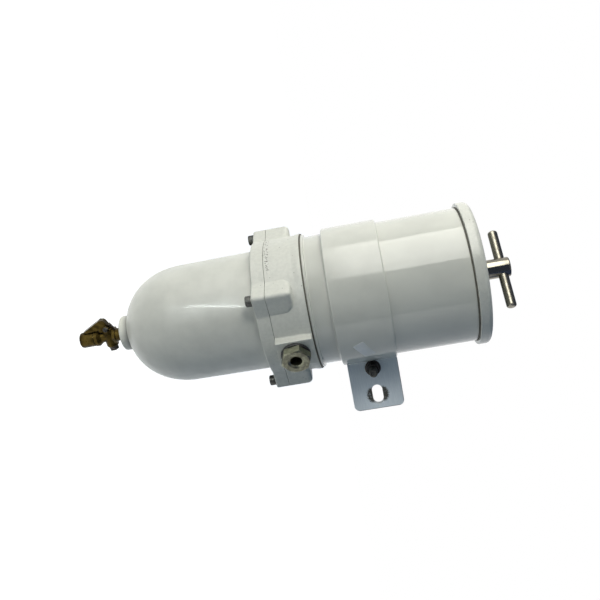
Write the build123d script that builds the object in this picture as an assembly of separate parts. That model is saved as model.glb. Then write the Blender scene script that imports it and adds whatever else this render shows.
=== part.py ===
from build123d import *
import math
import os

os.makedirs("parts", exist_ok=True)

# Frame: the axis of the bowl and tube is Z, the drain outlet is at z 0 and the T-handle is at the top.
# The bracket ear stands out along +Y and its seen face looks along +X. Millimetres and degrees.

# Azimuths about Z, counted from +X towards +Y
lobe_azimuth = -17.2
inlet_azimuth = 29.3
outlet_azimuth = inlet_azimuth + 180.0
handle_bar_azimuth = 54.5
plug_azimuth = -75.0
stop_screw_azimuth = -10.0
label_azimuth = 42.0

# Drain cock body, from the outlet upwards
spout_radius = 7.9
spout_edge = 2.2
spout_edge_share = 0.293
spout_length = 14.6
groove_radius = 7.0
groove_width = 1.2
collar_radius = 8.4
collar_width = 2.8
cock_neck_radius = 5.6
cock_taper_length = 3.8
plug_rise = 7.9
hex_neck_rise = 4.1
hex_neck_height = 2.7
hex_neck_across = 15.0
hex_neck_turn = 12.0
cock_spigot_radius = 6.5
cock_spigot_length = 8.9
outlet_bore_radius = 4.6
outlet_bore_depth = 11.0
flow_bore_radius = 3.2
groove_base_z = spout_length
collar_base_z = groove_base_z + groove_width
collar_end_z = collar_base_z + collar_width
cock_neck_z = collar_end_z + cock_taper_length
plug_z = cock_neck_z + plug_rise
hex_neck_z = plug_z + hex_neck_rise
cock_seat_z = hex_neck_z + hex_neck_height
cock_spigot_end_z = cock_seat_z + cock_spigot_length

# Plug of the drain cock, with heights counted out from the body's axis
plug_radius = 4.4
plug_running_gap = 0.05
barrel_wall = 1.75
barrel_edge = 0.8
barrel_top = 9.6
barrel_bottom = -10.6
plug_end_gap = 0.3
plug_head_radius = 5.2
plug_head_height = 1.2
plug_square = 4.6
square_height = 1.3
square_gap = 0.02
tail_radius = 2.0
tail_overhang = 0.8
tail_washer_radius = 4.9
tail_washer_thickness = 1.0
tail_nut_across = 8.4
tail_nut_height = 3.2
lever_width = 6.0
lever_thickness = 2.2
barrel_radius = plug_radius + plug_running_gap + barrel_wall
plug_head_base = barrel_top + plug_end_gap
plug_head_top = plug_head_base + plug_head_height
lever_top = plug_head_top + lever_thickness
tail_washer_top = barrel_bottom - plug_end_gap
tail_washer_bottom = tail_washer_top - tail_washer_thickness
tail_nut_bottom = tail_washer_bottom - tail_nut_height
tail_end = tail_nut_bottom - tail_overhang

# Lug and its screw
lug_radius = 3.2
lug_aside = 6.5
lug_rise = 8.0
lug_reach = 10.5
lug_clearance = 0.3
stop_head_radius = 2.6
stop_head_height = 1.5
stop_head_round = 1.1
stop_slot_width = 0.9
stop_slot_depth = 0.8
stop_shank_radius = 1.2
stop_shank_length = 1.0
lug_z = cock_neck_z + lug_rise

# Radii that the castings, the bowl and the tube share
casting_radius = 66.0
casting_lip = 0.9
casting_wall = 8.0
tube_set_back = 1.6
tube_wall = 2.8
neck_step = 1.65
tube_foot_set_back = 0.4
gasket_overhang = 0.4
casting_lip_radius = casting_radius + casting_lip
casting_inner_radius = casting_radius - casting_wall
tube_radius = casting_radius - tube_set_back
neck_radius = tube_radius - neck_step
tube_foot_radius = casting_radius - tube_foot_set_back
tube_gasket_radius = casting_radius + gasket_overhang

# Clamp ring and its screws
ring_radius = casting_radius
ring_wall = 2.4
ring_lip_height = 5.9
ring_top_gap = 0.4
ring_edge = 1.4
lobe_nose_radius = 3.6
lobe_nose_set_out = 8.9
lobe_flank_angle = 45.0
lobe_root_rise = 4.0
screw_set_out = 4.5
screw_radius = 3.0
screw_hole_gap = 0.3
screw_head_radius = 5.0
screw_head_height = 6.0
screw_head_edge = 0.6
screw_socket_across = 5.0
screw_socket_depth = 3.0
screw_grip = 14.2
tapped_gap = 0.05
lobe_nose_offset = ring_radius + lobe_nose_set_out
lobe_root_radius = casting_inner_radius + lobe_root_rise
screw_circle_radius = ring_radius + screw_set_out
ring_pocket_radius = ring_radius - ring_wall

# Bowl
boss_radius = 17.4
boss_edge = 1.6
dome_height = 63.0
dome_rise = 73.2
bowl_wall = 3.2
bowl_top_z = 202.0
bowl_taper = 0.6
flange_width = 5.0
flange_thickness = 5.0
flange_gap = 0.4
ring_running_gap = 0.5
bowl_gasket_thickness = 1.8
bowl_gasket_overlap = 2.6
flange_radius = ring_pocket_radius - flange_gap
bowl_rim_radius = flange_radius - flange_width
bowl_radius = bowl_rim_radius - bowl_taper
ring_inner_radius = bowl_rim_radius + ring_running_gap
bowl_gasket_inner = bowl_rim_radius - bowl_gasket_overlap
dome_centre_z = cock_seat_z + dome_rise
flange_base_z = bowl_top_z - flange_thickness
ring_base_z = flange_base_z - ring_lip_height

# Casting
casting_base_z = bowl_top_z + bowl_gasket_thickness
casting_height = 34.0
casting_lip_height = 6.8
lobe_height = 25.2
lobe_top_round = 3.2
web_rise = 10.2
web_thickness = 5.0
hub_radius = 15.0
hub_rise = 2.2
hub_height = 29.0
cross_bar_radius = 10.5
flow_hole_radius = 6.0
flow_hole_offset = 35.0
casting_top_z = casting_base_z + casting_height
casting_lip_z = casting_top_z - casting_lip_height
lobe_top_z = casting_base_z + lobe_height
ring_top_z = casting_base_z - ring_top_gap
web_base_z = casting_base_z + web_rise
web_top_z = web_base_z + web_thickness
hub_base_z = casting_base_z + hub_rise
hub_top_z = hub_base_z + hub_height
screw_end_z = casting_base_z + screw_grip

# Ports, the passage behind the inlet and its check ball
port_rise = 16.2
port_block_half_width = 15.5
port_block_set_out = 5.5
port_block_set_down = 0.3
port_block_edge = 0.8
port_thread_radius = 9.0
port_thread_depth = 10.5
passage_radius = 7.0
drop_inset = 16.0
drop_boss_radius = 9.5
ball_radius = 4.8
ball_side_gap = 0.8
ball_hole_radius = 4.0
ball_travel = 3.0
ball_rest_gap = 0.02
cage_height = 1.8
port_z = casting_base_z + port_rise
port_block_reach = casting_radius + port_block_set_out
port_block_top_z = casting_top_z - port_block_set_down
drop_offset = casting_inner_radius - drop_inset
ball_bore_radius = ball_radius + ball_side_gap
cage_top_z = casting_base_z + cage_height

# Port adapters
adapter_seal_thickness = 2.8
adapter_across = 24.6
adapter_turn = 10.0
adapter_hex_height = 7.9
adapter_bore_radius = 5.5
adapter_sink_radius = 7.6
adapter_sink_depth = 1.3
adapter_crown_radius = 11.9
adapter_crown_angle = 30.0
adapter_spigot_length = 11.5
adapter_seal_radius = 14.0

# Tube
tube_gasket_thickness = 1.2
tube_foot_height = 2.4
tube_foot_edge = 0.6
tube_floor_radius = 47.0
tube_floor_thickness = 3.0
neck_height = 18.0
shoulder_height = 6.0
tube_height = 148.0
tube_edge = 0.5
tube_base_z = casting_top_z + tube_gasket_thickness
tube_foot_top_z = tube_base_z + tube_foot_height
neck_top_z = tube_base_z + neck_height
tube_shoulder_z = neck_top_z + shoulder_height
tube_top_z = tube_base_z + tube_height

# Clamp strap and its ear
strap_gap = 0.05
strap_thickness = 3.05
strap_rise = 19.6
strap_height = 52.4
strap_edge = 1.4
ear_inset_low = 2.2
ear_inset_high = 0.2
ear_length = 51.4
ear_corner = 5.6
ear_split = 0.6
leaf_thickness = 3.0
leaf_sink = 2.3
slot_set_out = 36.7
slot_rise = 27.4
slot_width = 10.5
slot_length = 19.9
strap_inner_radius = tube_radius + strap_gap
strap_radius = strap_inner_radius + strap_thickness
strap_base_z = tube_base_z + strap_rise
strap_top_z = strap_base_z + strap_height
ear_base_z = strap_base_z + ear_inset_low
ear_top_z = strap_top_z - ear_inset_high
ear_reach = strap_radius + ear_length
ear_face_x = ear_split / 2 + leaf_thickness
slot_centre_y = strap_radius + slot_set_out
slot_centre_z = strap_base_z + slot_rise

# Clamp bolt and nut
bolt_set_out = 8.9
bolt_rise = 26.9
bolt_radius = 4.0
bolt_hole_gap = 0.3
bolt_reach = 17.2
bolt_edge = 0.8
bolt_across = 13.0
bolt_head_height = 5.3
nut_across = 11.4
nut_turn = 10.0
nut_flange_radius = 7.9
nut_flange_height = 1.7
nut_height = 8.0
bolt_y = strap_radius + bolt_set_out
bolt_z = strap_base_z + bolt_rise
bolt_end_x = ear_face_x + bolt_reach

# Lid
lid_gasket_thickness = 1.2
lid_gasket_overhang = 0.5
lid_overhang = 4.0
lid_height = 11.1
lid_round = 4.2
lid_edge = 0.5
lid_plate = 7.0
spigot_gap = 0.4
spigot_depth = 3.4
spigot_wall = 6.2
spigot_shoulder = 0.7
lid_hole_gap = 0.4
lid_boss_radius = 15.0
lid_seat_z = tube_top_z + lid_gasket_thickness
lid_top_z = lid_seat_z + lid_height
lid_radius = tube_radius + lid_overhang
lid_spigot_radius = tube_radius - tube_wall - spigot_gap
lid_spigot_inner = lid_spigot_radius - spigot_wall
lid_spigot_base_z = tube_top_z - spigot_depth
lid_gasket_inner = lid_spigot_radius + spigot_shoulder
lid_gasket_outer = tube_radius + lid_gasket_overhang

# T-handle
handle_seal_gap = 0.05
handle_seal_thickness = 0.85
handle_seal_radius = 9.1
handle_hub_radius = 9.5
handle_hub_height = 30.2
handle_hub_round = 1.2
handle_bar_radius = 4.7
handle_bar_length = 81.8
handle_bar_drop = 7.4
handle_bar_round = 2.6
stem_radius = 6.0
stem_gap = 0.05
stem_length = 36.2
stem_edge = 0.8
handle_seal_z = lid_top_z + handle_seal_gap
handle_base_z = handle_seal_z + handle_seal_thickness
handle_hub_top_z = handle_base_z + handle_hub_height
handle_bar_z = handle_hub_top_z - handle_bar_drop
stem_end_z = handle_base_z - stem_length
lid_hole_radius = stem_radius + lid_hole_gap

# Return tube in the middle
return_tube_radius = 9.5
return_tube_bore = 7.0
return_tube_sink = 2.0
return_tube_gap = 3.6
return_tube_insert = 23.0
return_tube_base_z = port_z + return_tube_sink
return_tube_top_z = lid_spigot_base_z - return_tube_gap
return_tube_insert_z = return_tube_top_z - return_tube_insert

# Element
media_radius = 50.0
media_inner_radius = 30.0
element_rise = 10.0
element_set_down = 5.0
cap_thickness = 3.0
cap_overhang = 1.0
cap_hole_radius = 13.0
grommet_height = 5.0
cap_radius = media_radius + cap_overhang
element_base_z = tube_base_z + element_rise
element_top_z = return_tube_top_z - element_set_down

# Turbine and baffle
turbine_side_gap = 4.4
turbine_height = 22.0
turbine_stem_radius = 11.0
turbine_plate = 2.4
vane_count = 8
vane_turn = 20.0
vane_height = 12.0
vane_thickness = 2.2
cone_top_radius = 22.0
cone_inset = 1.0
cone_height = 24.0
cone_wall = 2.2
turbine_radius = bowl_radius - bowl_wall - turbine_side_gap
turbine_top_z = hub_base_z
turbine_base_z = turbine_top_z - turbine_height
cone_base_radius = turbine_radius - cone_inset

# Blank label on the strap
label_length = 23.0
label_width = 11.0
label_thickness = 0.15
label_corner = 1.0
label_rise = 23.0
label_turn = -64.0
label_z = strap_base_z + label_rise


def disc(radius, low, high):
    return Pos(0, 0, low) * Cylinder(radius, high - low, align=(Align.CENTER, Align.CENTER, Align.MIN))


def ring(outer, inner, low, high):
    return disc(outer, low, high) - disc(inner, low - 1, high + 1)


def spun(points):
    return revolve(make_face(Plane.XZ * Polyline(*points, close=True)), axis=Axis.Z)


def outward(azimuth, reach, z, aside=0.0):
    a = math.radians(azimuth)
    x = reach * math.cos(a) - aside * math.sin(a)
    y = reach * math.sin(a) + aside * math.cos(a)
    return Plane(origin=(x, y, z), x_dir=(0, 0, 1), z_dir=(math.cos(a), math.sin(a), 0))


def rod(radius, low, high):
    return Pos(0, 0, low) * Cylinder(radius, high - low, align=(Align.CENTER, Align.CENTER, Align.MIN))


def hexagon(across, low, high, turn=0.0):
    outline = Rot(0, 0, turn) * RegularPolygon(across / 2, 6, major_radius=False)
    return Pos(0, 0, low) * extrude(outline, high - low)


def place(azimuth, radius, z=0.0):
    a = math.radians(azimuth)
    return Pos(radius * math.cos(a), radius * math.sin(a), z)


def lobe_azimuths():
    return [lobe_azimuth + 90 * i for i in range(4)]


def ellipse_points(radius, height, centre_z, end_radius, count):
    last = math.acos(end_radius / radius)
    steps = [last * i / (count - 1) for i in range(count)]
    return [(radius * math.cos(t), centre_z - height * math.sin(t)) for t in steps]


# Drain cock
def drain_body():
    profile = [
        (0, 0),
        (spout_radius - spout_edge, 0),
        (spout_radius - spout_edge_share * spout_edge, spout_edge_share * spout_edge),
        (spout_radius, spout_edge),
        (spout_radius, groove_base_z),
        (groove_radius, groove_base_z),
        (groove_radius, collar_base_z),
        (collar_radius, collar_base_z),
        (collar_radius, collar_end_z),
        (cock_neck_radius, cock_neck_z),
        (cock_neck_radius, cock_seat_z),
        (cock_spigot_radius, cock_seat_z),
        (cock_spigot_radius, cock_spigot_end_z),
        (0, cock_spigot_end_z),
    ]
    body = spun(profile)
    axis = outward(plug_azimuth, 0, plug_z)
    barrel = axis * rod(barrel_radius, barrel_bottom, barrel_top)
    body += chamfer(barrel.edges().filter_by(GeomType.CIRCLE), barrel_edge)
    body += hexagon(hex_neck_across, hex_neck_z, cock_seat_z, hex_neck_turn)
    body += outward(stop_screw_azimuth, 0, lug_z, -lug_aside) * rod(lug_radius, 0, lug_reach)
    body -= disc(flow_bore_radius, -1, cock_spigot_end_z + 1)
    body -= disc(outlet_bore_radius, -1, outlet_bore_depth)
    body -= axis * rod(plug_radius + plug_running_gap, barrel_bottom - 1, barrel_top + 1)
    body -= axis * rod(plug_head_radius + lug_clearance, barrel_top, barrel_top + lug_reach)
    hole = rod(stop_shank_radius, lug_reach - stop_shank_length, lug_reach + 1)
    return body - outward(stop_screw_azimuth, 0, lug_z, -lug_aside) * hole


def drain_plug():
    plug = rod(plug_radius, barrel_bottom + plug_end_gap, plug_head_base)
    plug += rod(plug_head_radius, plug_head_base, plug_head_top)
    tang = Box(plug_square, plug_square, square_height, align=(Align.CENTER, Align.CENTER, Align.MIN))
    plug += Pos(0, 0, plug_head_top) * tang
    plug += rod(tail_radius, tail_end, barrel_bottom + 2 * plug_end_gap)
    plug = outward(plug_azimuth, 0, plug_z) * plug
    return plug - disc(flow_bore_radius, plug_z - 2 * plug_radius, plug_z + 2 * plug_radius)


def drain_lever():
    # Points are the distance from the plug along the body and the height along the plug
    outline = [
        (3.4, plug_head_top),
        (3.4, lever_top),
        (1.8, lever_top),
        (0.2, 17.1),
        (-1.4, 18.9),
        (-5.4, 19.5),
        (-6.4, 18.9),
        (-25.0, 9.1),
        (-25.6, 8.5),
        (-24.4, 8.2),
        (-17.5, 8.2),
        (-15.2, 8.75),
        (-10.8, 8.75),
        (-6.6, 10.2),
        (-5.6, plug_head_top),
    ]
    plate = make_face(Polyline(*outline, close=True))
    lever = extrude(plate, lever_width / 2, both=True)
    lever = fillet(lever.edges().filter_by(Axis.Z).sort_by(Axis.X)[0:3], 0.3)
    # In the plane of the plug local X runs up the body and local Z out along the plug
    lever = Rot(90, 0, 0) * lever
    side = plug_square + 2 * square_gap
    depth = square_height + square_gap + 0.5
    hole = Box(side, side, depth, align=(Align.CENTER, Align.CENTER, Align.MIN))
    lever -= Pos(0, 0, plug_head_top - 0.5) * hole
    return outward(plug_azimuth, 0, plug_z) * lever


def drain_tail_washer():
    washer = rod(tail_washer_radius, tail_washer_bottom, tail_washer_top)
    washer -= rod(tail_radius, tail_washer_bottom - 1, tail_washer_top + 1)
    return outward(plug_azimuth, 0, plug_z) * washer


def drain_tail_nut():
    nut = hexagon(tail_nut_across, tail_nut_bottom, tail_washer_bottom)
    nut -= rod(tail_radius, tail_nut_bottom - 1, tail_washer_bottom + 1)
    return outward(plug_azimuth, 0, plug_z) * nut


def drain_stop_screw():
    head = rod(stop_head_radius, lug_reach, lug_reach + stop_head_height)
    head = fillet(head.edges().filter_by(GeomType.CIRCLE).sort_by(Axis.Z)[-1], stop_head_round)
    slot = Box(stop_slot_width, 2 * stop_head_radius, 2 * stop_slot_depth)
    head -= Pos(0, 0, lug_reach + stop_head_height) * Rot(0, 0, 30) * slot
    head += rod(stop_shank_radius, lug_reach - stop_shank_length, lug_reach)
    return outward(stop_screw_azimuth, 0, lug_z, -lug_aside) * head


# Bowl, ring and screws
def bowl():
    outer = ellipse_points(bowl_radius, dome_height, dome_centre_z, boss_radius, 9)
    inner_radius = bowl_radius - bowl_wall
    inner_height = dome_height - bowl_wall
    hole = cock_spigot_radius + tapped_gap
    inner = ellipse_points(inner_radius, inner_height, dome_centre_z, hole, 10)
    foot = boss_radius - boss_edge
    edges = Polyline(inner[-1], (hole, cock_seat_z), (foot, cock_seat_z))
    edges += Line((foot, cock_seat_z), (boss_radius, cock_seat_z + boss_edge))
    edges += Line((boss_radius, cock_seat_z + boss_edge), outer[-1])
    edges += Spline(*outer, tangents=[(0, -1), (-1, -0.12)])
    edges += Polyline(
        outer[0],
        (bowl_rim_radius, flange_base_z),
        (flange_radius, flange_base_z),
        (flange_radius, bowl_top_z),
        (bowl_rim_radius - bowl_wall, bowl_top_z),
        inner[0],
    )
    edges += Spline(*inner, tangents=[(0, -1), (-1, -0.05)])
    return revolve(make_face(Plane.XZ * edges), axis=Axis.Z)


def bowl_gasket():
    return ring(flange_radius - flange_gap, bowl_gasket_inner, bowl_top_z, casting_base_z)


# A lobe has a small round nose and two straight flanks, and its root lies inside the round wall
def lobe_prism(low, high):
    lean = math.radians(lobe_flank_angle)
    reach = lobe_nose_offset * math.cos(lean) + lobe_nose_radius
    back = math.sqrt(lobe_root_radius**2 - reach**2)
    root_x = reach * math.cos(lean) + back * math.sin(lean)
    root_y = reach * math.sin(lean) - back * math.cos(lean)
    nose_x = lobe_nose_offset + lobe_nose_radius * math.cos(lean)
    nose_y = lobe_nose_radius * math.sin(lean)
    outline = Polyline((nose_x, nose_y), (root_x, root_y), (root_x, -root_y), (nose_x, -nose_y))
    tip = (lobe_nose_offset + lobe_nose_radius, 0)
    outline += ThreePointArc((nose_x, -nose_y), tip, (nose_x, nose_y))
    return Pos(0, 0, low) * extrude(make_face(outline), high - low)


def bowl_ring():
    base = disc(ring_radius, ring_base_z, ring_top_z)
    body = fillet(base.edges().filter_by(GeomType.CIRCLE).sort_by(Axis.Z)[0], ring_edge)
    lobe = lobe_prism(ring_base_z, ring_top_z)
    # All edges of the base but the one at the root
    lobe = fillet(lobe.faces().sort_by(Axis.Z)[0].edges().sort_by(Axis.X)[1:], ring_edge)
    for a in lobe_azimuths():
        body += Rot(0, 0, a) * lobe
    body -= disc(ring_inner_radius, ring_base_z - 1, ring_top_z + 1)
    body -= disc(ring_pocket_radius, flange_base_z, ring_top_z + 1)
    for a in lobe_azimuths():
        hole = disc(screw_radius + screw_hole_gap, ring_base_z - 1, ring_top_z + 1)
        body -= place(a, screw_circle_radius) * hole
    return body


def bowl_screw():
    head = disc(screw_head_radius, ring_base_z - screw_head_height, ring_base_z)
    head = chamfer(head.edges().filter_by(GeomType.CIRCLE).sort_by(Axis.Z)[0], screw_head_edge)
    low = ring_base_z - screw_head_height
    head -= hexagon(screw_socket_across, low - 1, low + screw_socket_depth)
    return head + disc(screw_radius, ring_base_z, screw_end_z)


def bowl_screws():
    return Compound([place(a, screw_circle_radius) * bowl_screw() for a in lobe_azimuths()])


# Casting between the bowl and the tube
def casting_lobe():
    lobe = lobe_prism(casting_base_z, lobe_top_z)
    # All edges of the top but the one at the root
    return fillet(lobe.faces().sort_by(Axis.Z)[-1].edges().sort_by(Axis.X)[1:], lobe_top_round)


def port_block(azimuth):
    height = port_block_top_z - casting_base_z
    depth = port_block_reach - casting_inner_radius + 1
    block = Box(height, 2 * port_block_half_width, depth, align=(Align.MIN, Align.CENTER, Align.MAX))
    block = chamfer(block.faces().sort_by(Axis.Z)[-1].edges(), port_block_edge)
    return outward(azimuth, port_block_reach, casting_base_z) * block


def casting_shell():
    shell = disc(casting_radius, casting_base_z, casting_top_z)
    shell += disc(casting_lip_radius, casting_lip_z, casting_top_z)
    for a in lobe_azimuths():
        shell += Rot(0, 0, a) * casting_lobe()
    shell += port_block(inlet_azimuth)
    shell += port_block(outlet_azimuth)
    return shell - disc(casting_inner_radius, casting_base_z - 1, casting_top_z + 1)


def casting_inside():
    inside = disc(casting_inner_radius + 1, web_base_z, web_top_z)
    inside += disc(hub_radius, hub_base_z, hub_top_z)
    span = casting_inner_radius + 1
    inside += outward(inlet_azimuth, 0, port_z) * rod(cross_bar_radius, -span, span)
    boss = disc(drop_boss_radius, casting_base_z, web_top_z)
    return inside + place(inlet_azimuth, drop_offset) * boss


def casting_passages():
    inlet = outward(inlet_azimuth, 0, port_z)
    outlet = outward(outlet_azimuth, 0, port_z)
    thread_end = port_block_reach - port_thread_depth
    cut = inlet * rod(passage_radius, drop_offset, port_block_reach)
    cut += inlet * rod(port_thread_radius, thread_end, port_block_reach + 1)
    cut += outlet * rod(passage_radius, 0, port_block_reach)
    cut += outlet * rod(port_thread_radius, thread_end, port_block_reach + 1)
    cut += disc(return_tube_radius + tapped_gap, return_tube_base_z, hub_top_z + 1)
    cut += disc(return_tube_bore, port_z, return_tube_base_z + 1)
    ball_top = ball_rest_z() + ball_travel
    seat_z = ball_top + math.sqrt(ball_radius**2 - ball_hole_radius**2)
    drop = disc(ball_bore_radius, casting_base_z - 1, seat_z)
    drop += disc(ball_hole_radius, seat_z - 1, port_z)
    cut += place(inlet_azimuth, drop_offset) * drop
    for a in lobe_azimuths():
        cut += place(a, flow_hole_offset) * disc(flow_hole_radius, web_base_z - 1, web_top_z + 1)
        hole = disc(screw_radius + tapped_gap, casting_base_z - 1, screw_end_z + 1.5)
        cut += place(a, screw_circle_radius) * hole
    return cut


def body_casting():
    return casting_shell() + casting_inside() - casting_passages()


def adapter(azimuth):
    low = port_block_reach + adapter_seal_thickness
    high = low + adapter_hex_height
    body = hexagon(adapter_across, low, high, adapter_turn)
    spread = adapter_hex_height / math.tan(math.radians(adapter_crown_angle))
    cone = Cone(adapter_crown_radius + spread, adapter_crown_radius, adapter_hex_height)
    body = body & Pos(0, 0, low + adapter_hex_height / 2) * cone
    body += rod(port_thread_radius - tapped_gap, low - adapter_spigot_length, low)
    body -= rod(adapter_bore_radius, low - adapter_spigot_length - 1, high + 1)
    sink = Cone(adapter_bore_radius, adapter_sink_radius, adapter_sink_depth)
    body -= Pos(0, 0, high - adapter_sink_depth / 2) * sink
    return outward(azimuth, 0, port_z) * body


def adapter_seal(azimuth):
    low = port_block_reach
    high = low + adapter_seal_thickness
    washer = rod(adapter_seal_radius, low, high)
    washer -= rod(port_thread_radius, low - 1, high + 1)
    return outward(azimuth, 0, port_z) * washer


# The check ball rests on its cage ring, and rises to the hole above it
def ball_rest_z():
    rise = math.sqrt(ball_radius**2 - ball_hole_radius**2)
    return cage_top_z + rise + ball_rest_gap


def check_ball():
    return place(inlet_azimuth, drop_offset, ball_rest_z()) * Sphere(ball_radius)


def ball_cage():
    cage = ring(ball_bore_radius, ball_hole_radius, casting_base_z, cage_top_z)
    return place(inlet_azimuth, drop_offset) * cage


# Tube
def tube_gasket():
    return ring(tube_gasket_radius, casting_inner_radius, casting_top_z, tube_base_z)


def body_tube():
    floor_z = tube_base_z + tube_floor_thickness
    profile = [
        (tube_floor_radius, tube_base_z),
        (tube_foot_radius, tube_base_z),
        (tube_foot_radius, tube_foot_top_z - tube_foot_edge),
        (tube_foot_radius - tube_foot_edge, tube_foot_top_z),
        (neck_radius, tube_foot_top_z),
        (neck_radius, neck_top_z),
        (tube_radius, tube_shoulder_z),
        (tube_radius, tube_top_z - tube_edge),
        (tube_radius - tube_edge, tube_top_z),
        (tube_radius - tube_wall, tube_top_z),
        (tube_radius - tube_wall, tube_shoulder_z),
        (neck_radius - tube_wall, neck_top_z),
        (neck_radius - tube_wall, floor_z),
        (tube_floor_radius, floor_z),
    ]
    return spun(profile)


# Clamp strap
def strap_leaf(near, far):
    height = ear_top_z - ear_base_z
    start = strap_radius - leaf_sink
    length = ear_reach - start
    leaf = Box(far - near, length, height, align=(Align.MIN, Align.MIN, Align.MIN))
    corners = leaf.edges().filter_by(Axis.X).group_by(Axis.Y)[-1]
    leaf = fillet(corners, ear_corner)
    return Pos(near, start, ear_base_z) * leaf


def strap_slot():
    reach = ear_face_x + 1
    cut = extrude(SlotOverall(slot_length, slot_width), reach, both=True)
    cut = Plane(origin=(0, slot_centre_y, slot_centre_z), x_dir=(0, 1, 0), z_dir=(1, 0, 0)) * cut
    return cut + bolt_plane() * rod(bolt_radius + bolt_hole_gap, -reach, reach)


def clamp_strap():
    band = disc(strap_radius, strap_base_z, strap_top_z)
    band = fillet(band.edges().filter_by(GeomType.CIRCLE), strap_edge)
    band -= disc(strap_inner_radius, strap_base_z - 1, strap_top_z + 1)
    near = ear_split / 2
    strap = band + strap_leaf(near, ear_face_x)
    strap += strap_leaf(-ear_face_x, -near)
    split = Box(ear_split, 4 * strap_thickness, strap_height + 2)
    strap -= Pos(0, strap_radius, strap_base_z + strap_height / 2) * split
    return strap - strap_slot()


def bolt_plane():
    return Plane(origin=(0, bolt_y, bolt_z), x_dir=(0, 1, 0), z_dir=(1, 0, 0))


def clamp_bolt():
    bolt = rod(bolt_radius, -ear_face_x, bolt_end_x)
    bolt = chamfer(bolt.edges().filter_by(GeomType.CIRCLE).sort_by(Axis.Z)[-1], bolt_edge)
    bolt += hexagon(bolt_across, -ear_face_x - bolt_head_height, -ear_face_x)
    return bolt_plane() * bolt


def clamp_nut():
    top = ear_face_x + nut_height
    nut = rod(nut_flange_radius, ear_face_x, ear_face_x + nut_flange_height)
    nut += hexagon(nut_across, ear_face_x + nut_flange_height, top, nut_turn)
    nut -= rod(bolt_radius + tapped_gap, ear_face_x - 1, top + 1)
    return bolt_plane() * nut


# Lid and handle
def lid():
    body = disc(lid_radius, lid_seat_z, lid_top_z)
    edges = body.edges().filter_by(GeomType.CIRCLE).sort_by(Axis.Z)
    body = fillet(edges[-1], lid_round)
    body = chamfer(body.edges().filter_by(GeomType.CIRCLE).sort_by(Axis.Z)[0], lid_edge)
    body += disc(lid_spigot_radius, lid_spigot_base_z, lid_seat_z + lid_edge)
    body -= disc(lid_spigot_inner, lid_spigot_base_z - 1, lid_top_z - lid_plate)
    body += disc(lid_boss_radius, lid_spigot_base_z, lid_top_z - 1)
    return body - disc(lid_hole_radius, lid_spigot_base_z - 1, lid_top_z + 1)


def lid_gasket():
    return ring(lid_gasket_outer, lid_gasket_inner, tube_top_z, lid_seat_z)


def handle_seal():
    return ring(handle_seal_radius, stem_radius, handle_seal_z, handle_base_z)


def handle_hub():
    hub = disc(handle_hub_radius, handle_base_z, handle_hub_top_z)
    top = hub.edges().filter_by(GeomType.CIRCLE).sort_by(Axis.Z)[-1]
    hub = fillet(top, handle_hub_round)
    stem = disc(stem_radius, stem_end_z, handle_base_z)
    stem = chamfer(stem.edges().filter_by(GeomType.CIRCLE).sort_by(Axis.Z)[0], stem_edge)
    hub += stem
    hole = rod(handle_bar_radius, -handle_hub_radius - 1, handle_hub_radius + 1)
    return hub - outward(handle_bar_azimuth, 0, handle_bar_z) * hole


def handle_bar():
    half = handle_bar_length / 2
    bar = rod(handle_bar_radius, -half, half)
    bar = fillet(bar.edges().filter_by(GeomType.CIRCLE), handle_bar_round)
    return outward(handle_bar_azimuth, 0, handle_bar_z) * bar


def return_tube():
    tube = disc(return_tube_radius, return_tube_base_z, return_tube_top_z)
    tube -= disc(return_tube_bore, return_tube_base_z - 1, return_tube_insert_z)
    return tube - disc(stem_radius + stem_gap, return_tube_insert_z - 1, return_tube_top_z + 1)


# Element
def element_media():
    low = element_base_z + cap_thickness
    high = element_top_z - cap_thickness
    return ring(media_radius, media_inner_radius, low, high)


def element_top_cap():
    return ring(cap_radius, cap_hole_radius, element_top_z - cap_thickness, element_top_z)


def element_bottom_cap():
    return ring(cap_radius, cap_hole_radius, element_base_z, element_base_z + cap_thickness)


def element_grommets():
    lip = (grommet_height - cap_thickness) / 2
    low = element_top_z - cap_thickness - lip
    upper = ring(cap_hole_radius, return_tube_radius, low, low + grommet_height)
    low = element_base_z - lip
    lower = ring(cap_hole_radius, return_tube_radius, low, low + grommet_height)
    return Compound([upper, lower])


# Turbine and baffle inside the bowl
def turbine():
    body = disc(turbine_stem_radius, turbine_base_z, turbine_top_z)
    body += disc(turbine_radius, turbine_base_z, turbine_base_z + turbine_plate)
    reach = turbine_radius - turbine_stem_radius
    for i in range(vane_count):
        vane = Box(reach, vane_thickness, vane_height, align=(Align.MIN, Align.CENTER, Align.MIN))
        vane = Pos(turbine_stem_radius - 0.5, 0, 0) * Rot(0, 0, vane_turn) * Pos(-0.5, 0, 0) * vane
        vane = Rot(0, 0, 360 * i / vane_count) * vane
        body += Pos(0, 0, turbine_base_z + turbine_plate - 0.1) * vane
    body = body & disc(turbine_radius, turbine_base_z, turbine_top_z)
    return body


def cone_baffle():
    top = turbine_base_z
    base = top - cone_height
    profile = [
        (0, top),
        (cone_top_radius, top),
        (cone_base_radius, base),
        (cone_base_radius - cone_wall * 1.4, base),
        (cone_top_radius - cone_wall * 0.6, top - cone_wall),
        (0, top - cone_wall),
    ]
    return spun(profile)


def blank_label():
    skin = ring(strap_radius + label_thickness, strap_radius, strap_base_z, strap_top_z)
    patch = Rot(0, 0, label_turn) * RectangleRounded(label_length, label_width, label_corner)
    patch = extrude(patch, label_width)
    return skin & (outward(label_azimuth, strap_radius - label_width / 2, label_z) * patch)


def save(name, shape):
    if isinstance(shape, ShapeList):
        shape = Compound(list(shape))
    export_step(shape, "parts/" + name + ".step")


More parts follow.
